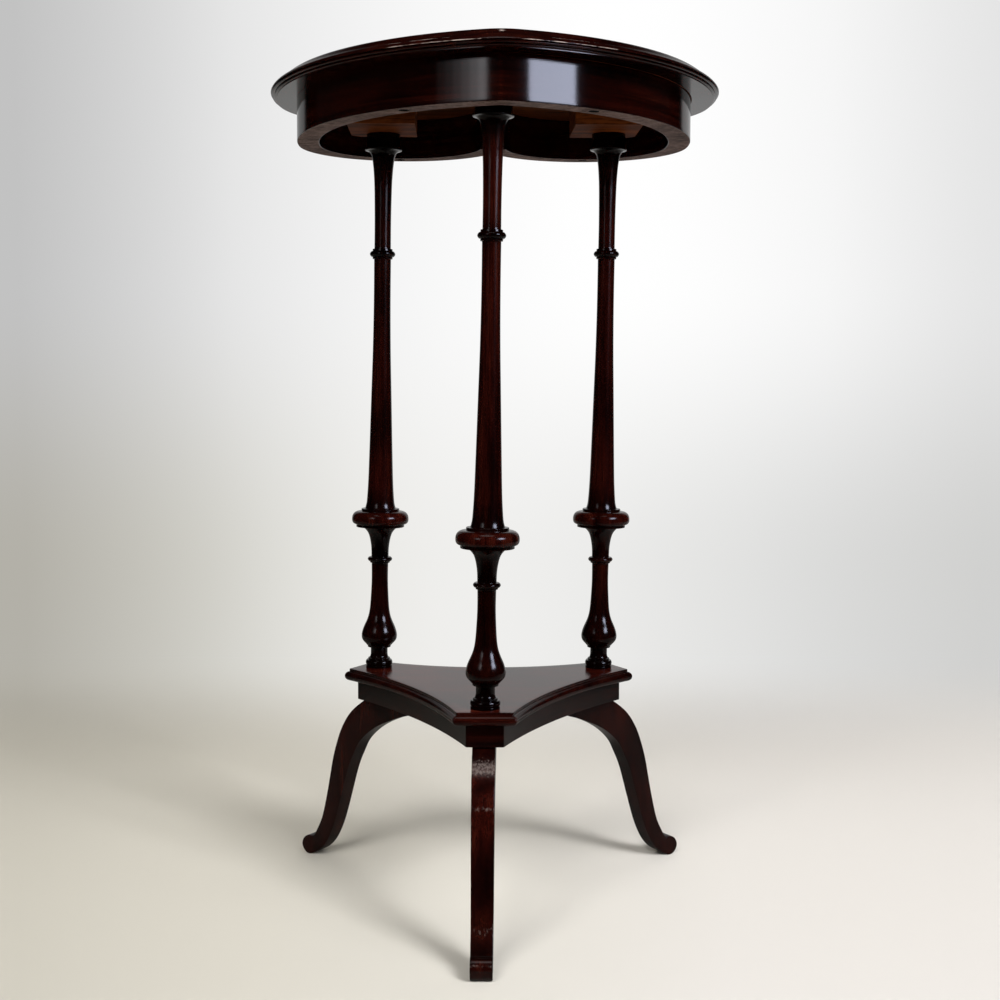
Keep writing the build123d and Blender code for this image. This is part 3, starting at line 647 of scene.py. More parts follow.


class SIDETABLE_OT_apron(bpy.types.Operator):
    """Make the two bent halves of the apron with their screw pockets"""

    bl_idname = "sidetable.apron"
    bl_label = "Apron"

    def execute(self, context):
        """A rectangular section is carried along the half heart; each corner of the section keeps its own
        parallel line, and both ends are closed on the middle plane."""
        top = context.scene.table_top
        colours = context.scene.table_finishes
        depth = top.apron_thickness
        low, high = apron_low.z, board_low.z
        notch = top.lobe_set_back + math.sqrt(top.lobe_radius ** 2 - top.lobe_offset ** 2)
        rise = notch - top.notch_joint - top.lobe_set_back
        limit = math.pi - math.asin(rise / (top.lobe_radius - depth))
        corners = ((0, low, 6), (-depth, low, 8), (-depth, high, 6), (0, high, 14), (0, low, 0))
        section = np.concatenate([np.linspace(start[:2], end[:2], start[2])
                                  for start, end in zip(corners, corners[1:])])
        section = section[np.linalg.norm(section - np.roll(section, 1, axis=0), axis=1) > 1e-9]
        section = soften(section, apron_arris, closed=True)
        bottom = np.abs(section[:, 1] - low) < 1e-6
        bare_band = bottom & np.roll(bottom, -1)
        grain = bare_wood("sawn_edge", colours.sawn_dark, colours.sawn_light, (110.0, 160.0, 160.0))
        outside = polished_wood("apron_mahogany", (10.0, 10.0, 320.0), (3.0, 3.0, 420.0), 0.7,
                                patina_and_shading=True, gloss=0.09, relief=0.09)
        centre = heart_sides()[0]
        side_middle = top.side_radius - depth / 2
        lobe_middle = top.lobe_radius - depth / 2
        front, back = math.radians(-54), math.radians(87)
        lobe = np.array([top.lobe_offset, top.lobe_set_back])
        pockets = np.array([centre + side_middle * around(front), lobe + lobe_middle * around(back)])
        for name, side in (("apron_right", 1), ("apron_left", -1)):
            lines = heart_half(section[:, 0], 0.0, limit) * [side, 1]
            path = np.moveaxis(raised(lines, section[:, 1]), 0, 1)
            grid = on_top(path)
            rows, columns = grid.shape[:2]
            patina_and_shading = np.ones((rows, columns))
            # A painted highlight along the mitre at the point, in the first ring of each half
            patina_and_shading[0, section[:, 0] > -1e-3] = mitre_highlight
            piece = skin("bent_" + name, grid, marks={"patina_and_shading": patina_and_shading})
            of_face = np.concatenate([np.tile(bare_band, rows - 1), np.zeros(2 * columns, bool)])
            piece.data.polygons.foreach_set("material_index", of_face.astype(np.int32))
            piece.data.materials.append(outside)
            piece.data.materials.append(grain)
            holes = on_top(np.column_stack([pockets * [side, 1], [0, 0]]))[:, :2]
            cut_holes(piece, holes, top.pocket_radius, low - top.pocket_depth, low + top.pocket_depth)
            settle(piece, "polished_mahogany", [name], outside, grain)
        return {"FINISHED"}


# Patina and painted light and shade along the columns as (height above the platform in millimetres, share of
# the wood's own colour): darker in the hollows and rings, nearly black on the capital in the apron's shade,
# lighter on the knop and the upper shaft
column_patina_and_shading = ((0.0, 0.12), (25.0, 0.2), (29.0, 0.4), (60.0, 0.6), (97.0, 0.6), (104.0, 0.2), (110.0, 0.2),
                 (125.0, 0.35), (131.0, 0.3), (133.6, 0.5), (136.0, 1.25), (144.5, 1.5), (146.0, 0.3),
                 (149.0, 0.25), (155.0, 0.3), (170.0, 0.8), (300.0, 1.1), (376.0, 1.0), (377.5, 0.3),
                 (385.0, 0.35), (387.0, 0.8), (405.0, 1.5), (450.0, 1.2), (465.0, 0.4), (474.0, 0.05),
                 (489.0, 0.05))
# A column's members from the foot up, in millimetres. Step: radius. Rise: height. Bead: height, bulge. Cove
# and shoulder: end radius, height. Flare: end radius, height, pull. Flow: slim radius, wide radius, height,
# and points as shares of its height and of the way from slim to wide.
column_members = (
    ("step", 12.1), ("rise", 2.4), ("step", 11.5), ("bead", 5.0, 0.9), ("step", 10.1), ("rise", 1.8),
    ("cove", 7.8, 5.0), ("rise", 5.2), ("step", 10.7), ("rise", 1.8),
    ("flow", 7.5, 16.4, 77.0, ((0.0, 0.42), (0.03, 0.66), (0.065, 0.91), (0.119, 1.0), (0.168, 0.93),
                               (0.231, 0.74), (0.295, 0.49), (0.368, 0.28), (0.453, 0.16), (0.58, 0.08),
                               (0.75, 0.01), (1.0, 0.02))),
    ("step", 9.1), ("rise", 1.4), ("step", 10.0), ("bead", 4.0, 1.3),
    ("flow", 7.9, 16.2, 27.9, ((0.0, 0.0), (0.275, 0.02), (0.507, 0.115), (0.707, 0.27), (0.825, 0.44),
                               (0.94, 0.78), (1.0, 1.0))),
    ("step", 22.1), ("rise", 2.6), ("cove", 26.1, 4.6), ("shoulder", 18.0, 7.6), ("step", 17.4),
    ("rise", 2.2),
    ("flow", 7.65, 14.2, 228.6, ((0.0, 1.0), (0.017, 0.83), (0.041, 0.725), (0.099, 0.6), (0.186, 0.496),
                                 (0.266, 0.42), (0.376, 0.32), (0.508, 0.2), (0.6, 0.115), (0.7, 0.05),
                                 (0.864, 0.0), (1.0, 0.008))),
    ("step", 9.1), ("rise", 2.0), ("step", 10.1), ("bead", 5.0, 1.5), ("step", 9.1), ("rise", 2.0),
    ("flow", 7.45, 9.8, 79.5, ((0.0, 0.02), (0.28, 0.0), (0.54, 0.1), (0.68, 0.2), (0.77, 0.31),
                               (0.85, 0.48), (0.94, 0.74), (1.0, 1.0))),
    ("flare", 16.2, 9.0, 0.1), ("bead", 1.8, 0.55), ("step", 15.2), ("rise", 12.9),
)


def column_line(members):
    """Outline of a turned column as (radius, height) in millimetres above the platform, member by member."""
    radius, height = 0.0, -0.5
    pieces = []
    for kind, *values in members:
        if kind == "step":
            line = [(values[0], height)]
        elif kind == "rise":
            line = [(radius, height), (radius, height + values[0])]
        elif kind == "bead":
            line = arc((radius, height), (radius, height + values[0]), values[1], 11)
        elif kind == "cove":
            line = bezier((radius, height), (values[0], height), (values[0], height + values[1]))
        elif kind == "shoulder":
            line = bezier((radius, height), (radius, height + values[1]), (values[0], height + values[1]))
        elif kind == "flare":
            pull = radius + (values[0] - radius) * values[2]
            line = bezier((radius, height), (pull, height + values[1]), (values[0], height + values[1]), 14)
        else:
            slim, wide, rise, shares = values
            points = [(slim + (wide - slim) * r, height + rise * h) for h, r in shares]
            line = through(points, max(16, int(rise / 1.6)))
        pieces.append(np.asarray(line, float))
        radius, height = pieces[-1][-1]
    line = np.concatenate(pieces)
    apart = np.linalg.norm(np.diff(line, axis=0), axis=1) > 1e-6
    return line[np.concatenate([[True], apart])]


class SIDETABLE_OT_columns(bpy.types.Operator):
    """Make the three turned columns"""

    bl_idname = "sidetable.columns"
    bl_label = "Columns"

    def execute(self, context):
        """The turned outline goes round an upright axis, tilts about the platform's top, and is levelled at
        both ends."""
        sizes = context.scene.table_columns
        line = soften(column_line(column_members) / 1000, sizes.softness, closed=False)
        # Patina and painted light and shade by height along each column
        patina_and_shading = np.interp(line[:, 1:] * 1000, *zip(*column_patina_and_shading))
        circle = around(np.linspace(0, 2 * math.pi, sizes.segments, endpoint=False))
        x, y = line[:, :1] * circle[:, 0], line[:, :1] * circle[:, 1]
        z = np.broadcast_to(line[:, 1:], x.shape)
        cos, sin = math.cos(sizes.lean), math.sin(sizes.lean)
        level = np.clip(shelf_high.z + z * cos - x * sin, shelf_high.z, block_low.z)
        leaning = np.stack([x * cos + z * sin, y, level], axis=-1)
        wood = polished_wood("column_mahogany", (110.0, 110.0, 6.0), (900.0, 900.0, 18.0), 1.1, gloss=0.14,
                             patina_and_shading=True)
        centre = stand_centre()
        for name, direction in corner_angles.items():
            place = centre + sizes.circle * around(direction)
            piece = skin("turned_column_" + name, leaning + np.append(place, 0), marks={"patina_and_shading": patina_and_shading},
                         sharp=50)
            settle(piece, "polished_mahogany", ["column_" + name], wood)
        return {"FINISHED"}


def hollow_rings(reach, corner, side_hollow, back_hollow, set_ins, end_steps=13, side_steps=70):
    """Rings parallel to a triangle with cut corners and hollow sides, one row for each set-in: each corner
    is a straight end, and each side is an arc about a centre outside, whose radius grows with the set-in."""
    set_ins = np.asarray(set_ins, float)[:, None]
    level = reach - set_ins
    outs = around(list(corner_angles.values()))
    asides = outs[:, ::-1] * [-1, 1]
    circles = []
    for index, hollow in enumerate((side_hollow, back_hollow, side_hollow)):
        pair = [index, (index + 1) % 3]
        ends = reach * outs[pair] + corner / 2 * asides[pair] * [[1], [-1]]
        middle = ends.mean(0)
        half = np.linalg.norm(ends[1] - ends[0]) / 2
        radius = (half ** 2 + hollow ** 2) / (2 * hollow)
        circles.append((middle + middle / np.linalg.norm(middle) * (radius - hollow), radius + set_ins))

    def meeting(corner, side, way):
        """Where a corner's straight end meets a side's arc, one point for each set-in."""
        centre, radius = circles[side]
        near = level - centre @ outs[corner]
        along = centre @ asides[corner] - way * np.sqrt(radius ** 2 - near ** 2)
        return level * outs[corner] + along * asides[corner]

    rings = []
    for index, (centre, radius) in enumerate(circles):
        start, leave = meeting(index, index - 1, -1), meeting(index, index, 1)
        arrive = meeting((index + 1) % 3, index, -1)
        rings.append(np.linspace(start, leave, end_steps, axis=1))
        first, last = (np.arctan2(point[:, 1:] - centre[1], point[:, :1] - centre[0])
                       for point in (leave, arrive))
        turn = (last - first + math.pi) % (2 * math.pi) - math.pi
        circle = around(first + turn * np.linspace(0, 1, side_steps)[1:-1])
        rings.append(centre + radius[..., None] * circle)
    return np.concatenate(rings, axis=1)


def plate(name, rings, heights, marks=None):
    """Flat piece from rings and heights about the stand's middle. Each mark's first and last values go on to
    the flat faces."""
    levels = np.concatenate([[heights[0]] * 2, heights, [heights[-1]] * 2])
    grid = raised(filled(rings) + stand_centre(), levels)
    marks = {mark: np.concatenate([[values[0]] * 2, values, [values[-1]] * 2])[:, None]
             for mark, values in (marks or {}).items()}
    return skin(name, grid, marks=marks)


# Rounding of the sections' corners, and of the corners in plan
board_arris, board_corner_round = 0.0004, 0.0012
frame_arris, frame_corner_round = 0.0005, 0.0008
# Bareness of the step's rubbed line; painted light on the platform's top face and painted shade on its edges,
# as shares of the wood's colour
step_bareness, painted_top_light, painted_edge_shade = 0.45, 2.0, 0.6


class SIDETABLE_OT_platform(bpy.types.Operator):
    """Make the platform board and the frame under it"""

    bl_idname = "sidetable.platform"
    bl_label = "Platform"

    def execute(self, context):
        """The board's section is a half-round edge with a small step above; the frame's is upright."""
        sizes = context.scene.table_stand
        low, high = shelf_low.z, shelf_high.z
        nose = high - low - sizes.step_height
        radius = nose * sizes.nose_round
        turn = np.linspace(0, math.pi / 2, 9)
        lower = np.column_stack([radius - radius * np.sin(turn), low + radius - radius * np.cos(turn)])
        upper = np.column_stack([radius - radius * np.cos(turn), low + nose - radius + radius * np.sin(turn)])
        upper = upper[upper[:, 0] < sizes.step_width]
        foot = np.interp(sizes.step_width, upper[:, 0], upper[:, 1])
        step = np.array([(0, foot), (0, high), (0.006, high)]) + [sizes.step_width, 0]
        section = soften(np.concatenate([lower, upper, step]), board_arris, closed=False)
        rings = hollow_rings(sizes.board_reach, sizes.board_corner, sizes.board_side_hollow,
                             sizes.board_back_hollow, section[:, 0])
        rings = soften(rings, board_corner_round, closed=True)
        worn = step_bareness * bell(section[:, 0], sizes.step_width, 0.0006) * (section[:, 1] > high - 0.0006)
        wood = polished_wood("platform_mahogany", (7.0, 120.0, 120.0), (22.0, 800.0, 800.0), 1.6,
                             wear_and_sheen=(55.0, 55.0, 160.0), patina_and_shading=True, gloss=0.17)
        # Painted light and shade: the top face's colour is made lighter and the edges' darker
        patina_and_shading = np.where(section[:, 1] > high - 1e-5, painted_top_light, painted_edge_shade)
        board = plate("shelf_board", rings, section[:, 1], {"wear_and_sheen": worn, "patina_and_shading": patina_and_shading})
        settle(board, "polished_mahogany", ["platform_board"], wood)

        low, high = frame_low.z, frame_high.z
        section = np.array([(0.004, low), (0, low), (0, high), (0.004, high)])
        section = soften(section, frame_arris, closed=False)
        rings = hollow_rings(sizes.frame_reach, sizes.frame_corner, sizes.frame_side_hollow,
                             sizes.frame_back_hollow, section[:, 0])
        rings = soften(rings, frame_corner_round, closed=True)
        base = plate("shelf_frame", rings, section[:, 1])
        frame_wood = polished_wood("frame_mahogany", (8.0, 8.0, 220.0), (22.0, 22.0, 1100.0), 0.6, gloss=0.2)
        base.data.materials.append(frame_wood)
        angles = np.array(list(corner_angles.values())) + math.pi
        screws = stand_centre() + sizes.screw_circle * around(angles)
        cut_holes(base, screws, sizes.screw_head, low - sizes.screw_sink, low + sizes.screw_sink)
        settle(base, "polished_mahogany", ["platform_frame"], frame_wood)
        return {"FINISHED"}


# Painted light and shade along the legs as (height, share of the wood's own colour): dark at the floor, in
# the crease above the toe and under the frame, lighter on the upper curve
leg_shading = ((0.0, 0.55), (0.0165, 0.75), (0.0172, 0.15), (0.021, 0.25), (0.028, 0.6), (0.055, 0.5),
              (0.085, 0.75), (0.115, 1.35), (0.140, 1.5), (0.155, 0.5), (0.165, 0.4))
edge_bareness = 0.30
# Pale bands across the front of a leg as (height, spread, bareness): rubbed wood and painted highlights where
# the lamps catch the leg's curve and its toe
leg_rubs_and_sheen = ((0.150, 0.008, 1.05), (0.122, 0.004, 0.85), (0.033, 0.009, 0.72), (0.0135, 0.0022, 0.84))
# Points of a leg's outer and inner curves as shares of its reach and height, from the root down
leg_outer_shares = ((0.601, 1.0), (0.654, 0.954), (0.685, 0.923), (0.718, 0.88), (0.745, 0.83),
                    (0.7675, 0.776), (0.7855, 0.718), (0.809, 0.624), (0.833, 0.484), (0.85, 0.386),
                    (0.869, 0.288), (0.886, 0.221), (0.908, 0.166))
leg_inner_shares = ((0.444, 0.901), (0.485, 0.879), (0.5325, 0.852), (0.5695, 0.826), (0.606, 0.794),
                    (0.643, 0.752), (0.669, 0.712), (0.692, 0.656), (0.7155, 0.594), (0.748, 0.474),
                    (0.771, 0.374), (0.795, 0.273), (0.8155, 0.199), (0.834, 0.147),
                    (0.859, 0.092), (0.903, 0.034))


def leg_lines(sizes, height):
    """The leg's outer and inner lines from root to toe tip, point for point: level top, outer curve and the
    top of the toe's circle, against the inner curve and the bottom of the circle."""
    toe = np.array([sizes.leg_reach - sizes.toe_radius, sizes.toe_radius - sizes.toe_flat])
    scale = np.array([sizes.leg_reach, height])
    ankle = toe + sizes.toe_radius * around(sizes.ankle_angle)
    outer = np.concatenate([np.array(leg_outer_shares) * scale, [ankle]])
    root = np.array([sizes.root_inner, height - sizes.root_depth])
    inner = np.concatenate([[root], np.array(leg_inner_shares) * scale, [[toe[0], -sizes.toe_flat]]])
    level = np.linspace([sizes.root_inner, height], outer[0], 20, endpoint=False)
    close = 1 - np.linspace(0, 1, 26) ** 0.8
    tip = sizes.toe_radius * around(sizes.ankle_angle * close) + toe
    sole = sizes.toe_radius * around(-math.pi / 2 * close) + toe
    outer_line = np.concatenate([level, through(outer, 90), tip[1:]])
    inner_line = np.concatenate([through(inner, 110), sole[1:]])
    return outer_line, inner_line


class SIDETABLE_OT_legs(bpy.types.Operator):
    """Make the three scroll-toed legs"""

    bl_idname = "sidetable.legs"
    bl_label = "Legs"

    def execute(self, context):
        """A rectangle with rounded corners spans the outer and inner lines at each step along the leg, and it
        is a little narrower at the floor; each leg is turned to its own direction."""
        sizes = context.scene.table_stand
        height = frame_low.z
        outer, inner = leg_lines(sizes, height)
        middle = (outer + inner) / 2
        reach = (outer - inner) / 2
        half = np.linalg.norm(reach, axis=1) + 1e-9
        width = (sizes.foot_width + (sizes.leg_width - sizes.foot_width)
                 * np.clip(middle[:, 1] / height, 0, 1)) / 2
        quarter = around(np.linspace(0, math.pi / 2, 6))
        flips = np.array([(1, 1), (-1, 1), (-1, -1), (1, -1)])
        ring = np.concatenate([quarter * flips[0], quarter[::-1] * flips[1], quarter * flips[2],
                               quarter[::-1] * flips[3]])
        signs = np.repeat(flips, len(quarter), axis=0)
        round_out = np.minimum(sizes.softness / half, 1)[:, None]
        round_side = (sizes.softness / width)[:, None]
        a = signs[:, 0] * (1 - round_out) + ring[:, 0] * round_out
        b = signs[:, 1] * (1 - round_side) + ring[:, 1] * round_side
        along = middle[:, None, 0] + a * reach[:, None, 0]
        up = np.maximum(middle[:, None, 1] + a * reach[:, None, 1], floor_level)
        aside = b * width[:, None]
        edge = bell(np.abs(ring[:, 0]) - np.abs(ring[:, 1]), 0, 0.7)
        outside = a > 0.5
        # Rubbed wood and painted highlight bands across the leg's front
        rubbed_and_sheen = sum(bareness * bell(up, level, spread) for level, spread, bareness in leg_rubs_and_sheen)
        # Painted light and shade by height
        patina_and_shading = np.interp(up, *zip(*leg_shading))
        worn = np.clip(edge_bareness * edge + rubbed_and_sheen * outside, 0, 1)
        front = {"wear_and_sheen": worn, "patina_and_shading": patina_and_shading}
        rear = {"wear_and_sheen": 0.7 * worn, "patina_and_shading": 0.9 + 0.1 * patina_and_shading}
        wood = polished_wood("leg_mahogany", (60.0, 60.0, 7.0), (750.0, 750.0, 22.0), 1.3,
                             wear_and_sheen=(550.0, 550.0, 40.0), patina_and_shading=True, gloss=0.2, bareness=0.25)
        directions = {"front": sizes.front_spread, "right": sizes.rear_spread,
                      "left": math.pi - sizes.rear_spread}
        centre = stand_centre()
        for name, direction in directions.items():
            cos, sin = math.cos(direction), math.sin(direction)
            grid = np.stack([along * cos - aside * sin + centre[0],
                             along * sin + aside * cos + centre[1], up], axis=-1)
            piece = skin("scroll_leg_" + name, grid, marks=front if name == "front" else rear)
            settle(piece, "polished_mahogany", ["leg_" + name], wood)
        return {"FINISHED"}


class SIDETABLE_OT_fittings(bpy.types.Operator):
    """Give the blocks, dowels and screws their bare wood and steel"""

    bl_idname = "sidetable.fittings"
    bl_label = "Blocks and Fastenings"

    def execute(self, context):
        """The packed solids stay and take new materials."""
        colours = context.scene.table_finishes
        block_wood = bare_wood("block_hardwood", colours.raw_dark, colours.raw_light, (12.0, 140.0, 140.0))
        dowel_wood = bare_wood("dowel_beech", colours.raw_light, colours.dowel, (200.0, 200.0, 40.0))
        steel = old_steel("screw_steel")
        for name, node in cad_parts.items():
            if node.hide_render:
                continue
            material = block_wood if "block_" in name and "dowel" not in name else dowel_wood
            if "screw" in name:
                material = steel
            node.data.materials.clear()
            node.data.materials.append(material)
        return {"FINISHED"}


# ---------------------------------------------------------------- stage
def backdrop_material(studio):
    """Pale matte floor that takes shadows and turns into a softly glowing wall: brightest right of the
    middle, greyer at the far left and near the floor. The floor's colour has painted light in it: darker and
    greyer at the left, lighter and bluer at the right, and a little darker towards the back. The gradients
    follow the way across, which is the sideways place over the depth, so that they stay upright from floor to
    wall."""
    material, tree, shader, place = new_material("studio_paper")
    x, y, z = put(tree, "ShaderNodeSeparateXYZ", {0: place}).outputs
    depth = sums(tree, "MAXIMUM", sums(tree, "ADD", y, studio.camera_distance), 0.4)
    across = sums(tree, "MULTIPLY_ADD", sums(tree, "DIVIDE", x, depth), 1.56, 0.5, clamp=True)
    high = ramp(tree, across, ((0.0, 0.540), (0.22, 0.785), (0.55, 0.990), (0.83, 0.925), (1.0, 0.785)),
                "CARDINAL")
    low = ramp(tree, across, ((0.0, (0.45, 0.435, 0.39)), (0.22, (0.665, 0.655, 0.61)),
                              (0.43, (0.86, 0.855, 0.835)), (0.75, (0.755, 0.755, 0.745)),
                              (1.0, (0.635, 0.635, 0.625))), "CARDINAL")
    glow = mixed(tree, between(tree, z, 0.05, 0.68, smooth=True), low, high)
    rays = put(tree, "ShaderNodeLightPath").outputs
    seen = sums(tree, "MAXIMUM", rays["Is Camera Ray"], rays["Is Transmission Ray"])
    aside = between(tree, sums(tree, "ABSOLUTE", x), 1.60, 1.40)
    above = between(tree, z, 2.0, 1.2)
    sheen = sums(tree, "MULTIPLY", sums(tree, "MULTIPLY", aside, above), studio.wall_sheen)
    bright = sums(tree, "MULTIPLY_ADD", rays["Is Glossy Ray"], sheen, seen)
    emission = put(tree, "ShaderNodeEmission", {"Color": glow, "Strength": bright})
    wall = between(tree, y, 0.45, 1.15, smooth=True)
    # Painted light on the floor's colour: darker and greyer at the left, lighter and bluer at the right
    tint = ramp(tree, across, ((0.0, (0.725, 0.725, 0.72)), (0.25, (0.83, 0.83, 0.835)),
                               (0.5, (0.91, 0.915, 0.945)), (0.75, (0.925, 0.93, 1.0)),
                               (1.0, (0.905, 0.91, 0.985))))
    # Painted falloff: the floor's colour is a little darker towards the back
    painted_depth_falloff = between(tree, y, 0.1, 0.6, smooth=True, far_value=0.93, near_value=1.0)
    near = between(tree, y, -0.6, -0.25)
    paper = mixed(tree, 1.0, tuple(studio.floor_colour), tint, "MULTIPLY")
    paper = mixed(tree, 1.0, paper, painted_depth_falloff, "MULTIPLY")
    tree.links.new(paper, shader.inputs["Base Color"])
    shader.inputs["Roughness"].default_value = 0.9
    shader.inputs["Specular IOR Level"].default_value = 0.0
    dark = put(tree, "ShaderNodeEmission", {"Color": (0, 0, 0, 1), "Strength": 0.0})
    sheen = sums(tree, "MULTIPLY", sums(tree, "MULTIPLY", aside, near), studio.floor_sheen)
    dull = sums(tree, "SUBTRACT", 1.0, sheen)
    dim = sums(tree, "MULTIPLY", rays["Is Glossy Ray"], dull)
    floor = put(tree, "ShaderNodeMixShader", {0: dim, 1: shader.outputs[0], 2: dark.outputs[0]})
    lit = sums(tree, "MINIMUM", sums(tree, "ADD", seen, rays["Is Glossy Ray"]), 1.0)
    mix = put(tree, "ShaderNodeMixShader", {0: sums(tree, "MULTIPLY", lit, wall), 1: floor.outputs[0],
                                            2: emission.outputs[0]})
    tree.links.new(mix.outputs[0], tree.get_output_node("ALL").inputs[0])
    return material


def panel(name, place, aim, width, height, radiance, tint):
    """Rectangular lamp that faces its aim. Its power is radiance x pi x area, so radiance is what shows."""
    data = bpy.data.lights.new(name, "AREA")
    data.shape = "RECTANGLE"
    data.size = width
    data.size_y = height
    data.energy = radiance * math.pi * width * height
    data.color = tint
    lamp = bpy.data.objects.new(name, data)
    lamp.location = place
    lamp.rotation_euler = (Vector(aim) - Vector(place)).to_track_quat("-Z", "Y").to_euler()
    bpy.context.scene.collection.objects.link(lamp)
    return lamp


def lay_backdrop(studio):
    """The backdrop is a profile carried sideways: level floor, a quarter circle and an upright wall."""
    radius = 0.30
    bend = around(np.linspace(-math.pi / 2, 0, 24)) * radius + [studio.wall_distance - radius, radius]
    profile = np.concatenate([[(-4.0, 0.0)], bend, [(studio.wall_distance, 3.0)]])
    x, y = np.meshgrid(np.linspace(-2.6, 2.6, 9), profile[:, 0])
    z = np.broadcast_to(profile[:, 1:], x.shape)
    index = np.arange(x.size).reshape(x.shape)
    quads = np.stack([index[:-1, :-1], index[:-1, 1:], index[1:, 1:], index[1:, :-1]], axis=-1)
    backdrop = finish_mesh("backdrop", np.stack([x, y, z], axis=-1).reshape(-1, 3),
                           quads.reshape(-1, 4).tolist())
    backdrop.data.materials.append(backdrop_material(studio))


window_distance, window_level, window_height = 1.6, 1.03, 0.46
lamp_distance = 6.0


def hang_lamps(studio):
    """Windows that only the polish shows, and soft lamps that it doesn't, all round the columns' middle."""
    x, y = stand_centre()
    # name, bearing in degrees, width, brightness, tint
    windows = [("right_window", 51.7, 0.60, studio.right_window, (0.74, 0.79, 1.0))]
    windows += [("left_window_%d" % index, -29.0 - 3.6 * index, 0.1005, studio.left_window * let_in,
                 (0.98, 0.97, 1.0)) for index, let_in in enumerate(studio.curtain)]
    for name, bearing, width, radiance, tint in windows:
        way = math.radians(bearing)
        place = (x + window_distance * math.sin(way), y - window_distance * math.cos(way), window_level)
        window = panel(name, place, (x, y, 1.0), width, window_height, radiance, tint)
        window.visible_diffuse = False
    ceiling = panel("ceiling_panel", (0.0, -0.75, 2.7), (0.0, 0.0, 0.3), 1.3, 0.7, studio.ceiling,
                    (1.0, 0.99, 0.97))
    ceiling.visible_diffuse = False
    # name, bearing and elevation in degrees, width, height, brightness, tint
    lamps = (("right_light", 40.0, 36.0, 1.6, 2.1, studio.right_light, (1.0, 0.985, 0.98)),
             ("right_spread", 42.0, 45.0, 4.2, 3.2, studio.right_spread, (1.0, 0.985, 0.98)),
             ("left_light", -21.7, 42.4, 2.5, 2.1, studio.left_light, (1.0, 0.97, 0.93)))
    aim = Vector((x, y, 0.1))
    for name, bearing, elevation, width, height, radiance, tint in lamps:
        way, up = math.radians(bearing), math.radians(elevation)
        reach = Vector((math.cos(up) * math.sin(way), -math.cos(up) * math.cos(way), math.sin(up)))
        lamp = panel(name, aim + lamp_distance * reach, aim, width, height, radiance, tint)
        lamp.visible_glossy = False


def fill_room(scene, studio):
    """World that is pale to the camera, dark in reflections but for the wall's sheen behind the table, and a
    faint fill on dull surfaces."""
    scene.world = bpy.data.worlds.new("room")
    scene.world.use_nodes = True
    tree = scene.world.node_tree
    tree.nodes.clear()
    rays = put(tree, "ShaderNodeLightPath").outputs
    way = put(tree, "ShaderNodeSeparateXYZ", {0: put(tree, "ShaderNodeTexCoord").outputs["Generated"]})
    behind = between(tree, way.outputs[1], 0.72, 0.85)
    level = between(tree, way.outputs[2], 0.5, 0.3)
    glossy = sums(tree, "MULTIPLY", sums(tree, "MULTIPLY", behind, level), studio.wall_sheen)
    glossy = sums(tree, "MULTIPLY", glossy, rays["Is Glossy Ray"])
    seen = sums(tree, "MAXIMUM", rays["Is Camera Ray"], rays["Is Transmission Ray"])
    seen = sums(tree, "MULTIPLY_ADD", seen, 0.92, glossy)
    dull = sums(tree, "MULTIPLY_ADD", rays["Is Diffuse Ray"], studio.fill - studio.room, studio.room)
    strength = sums(tree, "MAXIMUM", seen, dull)
    background = put(tree, "ShaderNodeBackground", {"Color": (1, 1, 1, 1), "Strength": strength})
    put(tree, "ShaderNodeOutputWorld", {0: background.outputs[0]})


def place_camera(scene, studio):
    """Camera at the photograph's viewing angle, turned, tilted down and rolled by small angles."""
    data = bpy.data.cameras.new("camera")
    data.lens = studio.lens
    data.sensor_width = 36
    data.shift_y = studio.shift
    data.dof.use_dof = False
    camera = bpy.data.objects.new("camera", data)
    x, y = stand_centre()
    place = Vector((x + studio.camera_side, y - studio.camera_distance, studio.camera_height))
    camera.matrix_world = (Matrix.Translation(place) @ Matrix.Rotation(-studio.camera_yaw, 4, "Z")
                           @ Matrix.Rotation(math.pi / 2 - studio.camera_pitch, 4, "X")
                           @ Matrix.Rotation(studio.camera_roll, 4, "Z"))
    scene.collection.objects.link(camera)
    scene.camera = camera
    scene.view_settings.view_transform = "Standard"


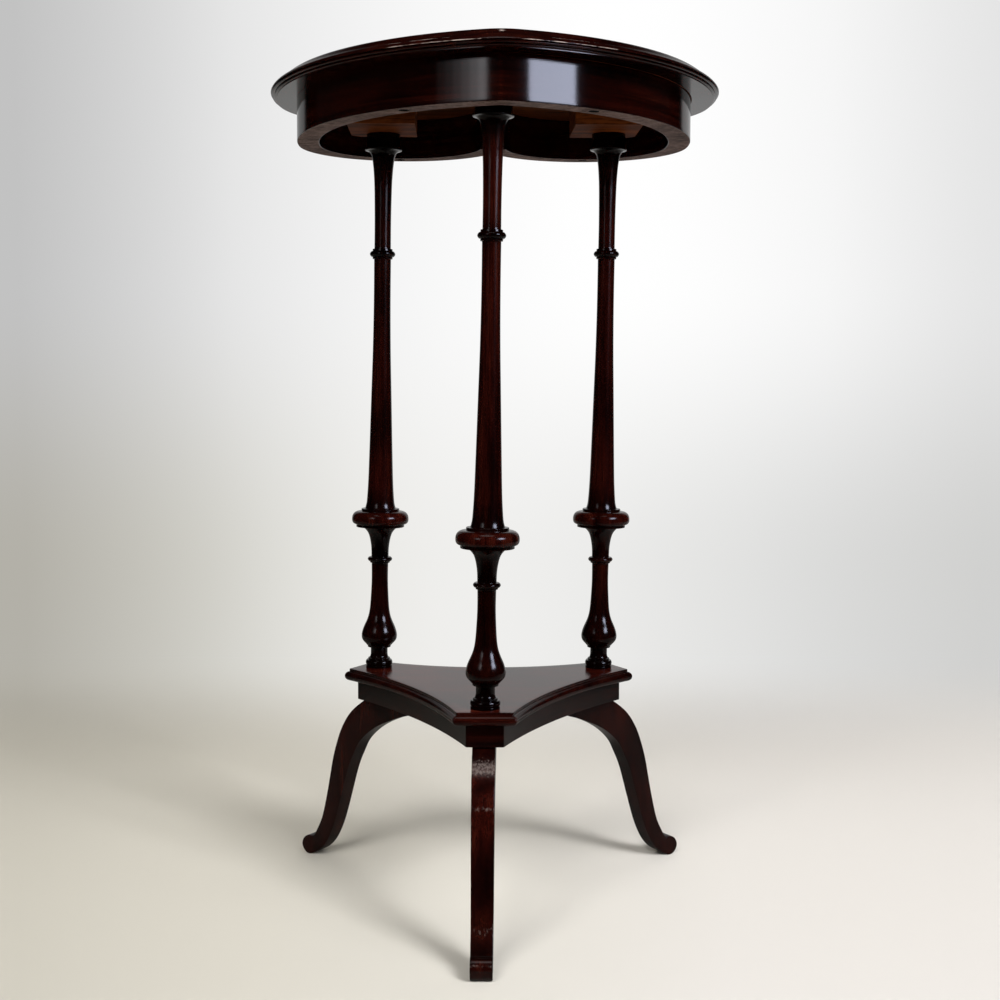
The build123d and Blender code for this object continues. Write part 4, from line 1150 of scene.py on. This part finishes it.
class SIDETABLE_OT_stage(bpy.types.Operator):
    """Make the floor, backdrop, lamps and camera"""

    bl_idname = "sidetable.stage"
    bl_label = "Stage"

    def execute(self, context):
        """Backdrop, lamps, the room's faint light and the camera, in that order."""
        studio = context.scene.table_studio
        lay_backdrop(studio)
        hang_lamps(studio)
        fill_room(context.scene, studio)
        place_camera(context.scene, studio)
        return {"FINISHED"}


class SIDETABLE_PT_panel(bpy.types.Panel):
    """Buttons for the side table's pieces and its stage"""

    bl_idname = "SIDETABLE_PT_panel"
    bl_label = "Side Table"
    bl_space_type = "VIEW_3D"
    bl_region_type = "UI"
    bl_category = "Side Table"

    def draw(self, context):
        """List the operators and the settings."""
        for maker in makers:
            self.layout.operator(maker.bl_idname)
        for name, group in setting_groups.items():
            box = self.layout.box()
            box.label(text=group.__doc__)
            for key in group.__annotations__:
                box.prop(getattr(context.scene, name), key)


setting_groups = {"table_top": TopSizes, "table_columns": ColumnSizes, "table_stand": StandSizes,
                  "table_finishes": Finishes, "table_studio": StudioSettings}
makers = (SIDETABLE_OT_board, SIDETABLE_OT_apron, SIDETABLE_OT_columns, SIDETABLE_OT_platform,
          SIDETABLE_OT_legs, SIDETABLE_OT_fittings, SIDETABLE_OT_stage)


def register():
    """Register the settings, operators and panel."""
    for name, group in setting_groups.items():
        bpy.utils.register_class(group)
        setattr(bpy.types.Scene, name, PointerProperty(type=group))
    for maker in makers:
        bpy.utils.register_class(maker)
    bpy.utils.register_class(SIDETABLE_PT_panel)


def unregister():
    """Take the panel, operators and settings away again."""
    bpy.utils.unregister_class(SIDETABLE_PT_panel)
    for maker in reversed(makers):
        bpy.utils.unregister_class(maker)
    for name, group in reversed(list(setting_groups.items())):
        delattr(bpy.types.Scene, name)
        bpy.utils.unregister_class(group)


def main():
    """Make every piece and the stage."""
    register()
    bpy.ops.sidetable.board()
    bpy.ops.sidetable.apron()
    bpy.ops.sidetable.columns()
    bpy.ops.sidetable.platform()
    bpy.ops.sidetable.legs()
    bpy.ops.sidetable.fittings()
    bpy.ops.sidetable.stage()


if __name__ == "__main__":
    main()
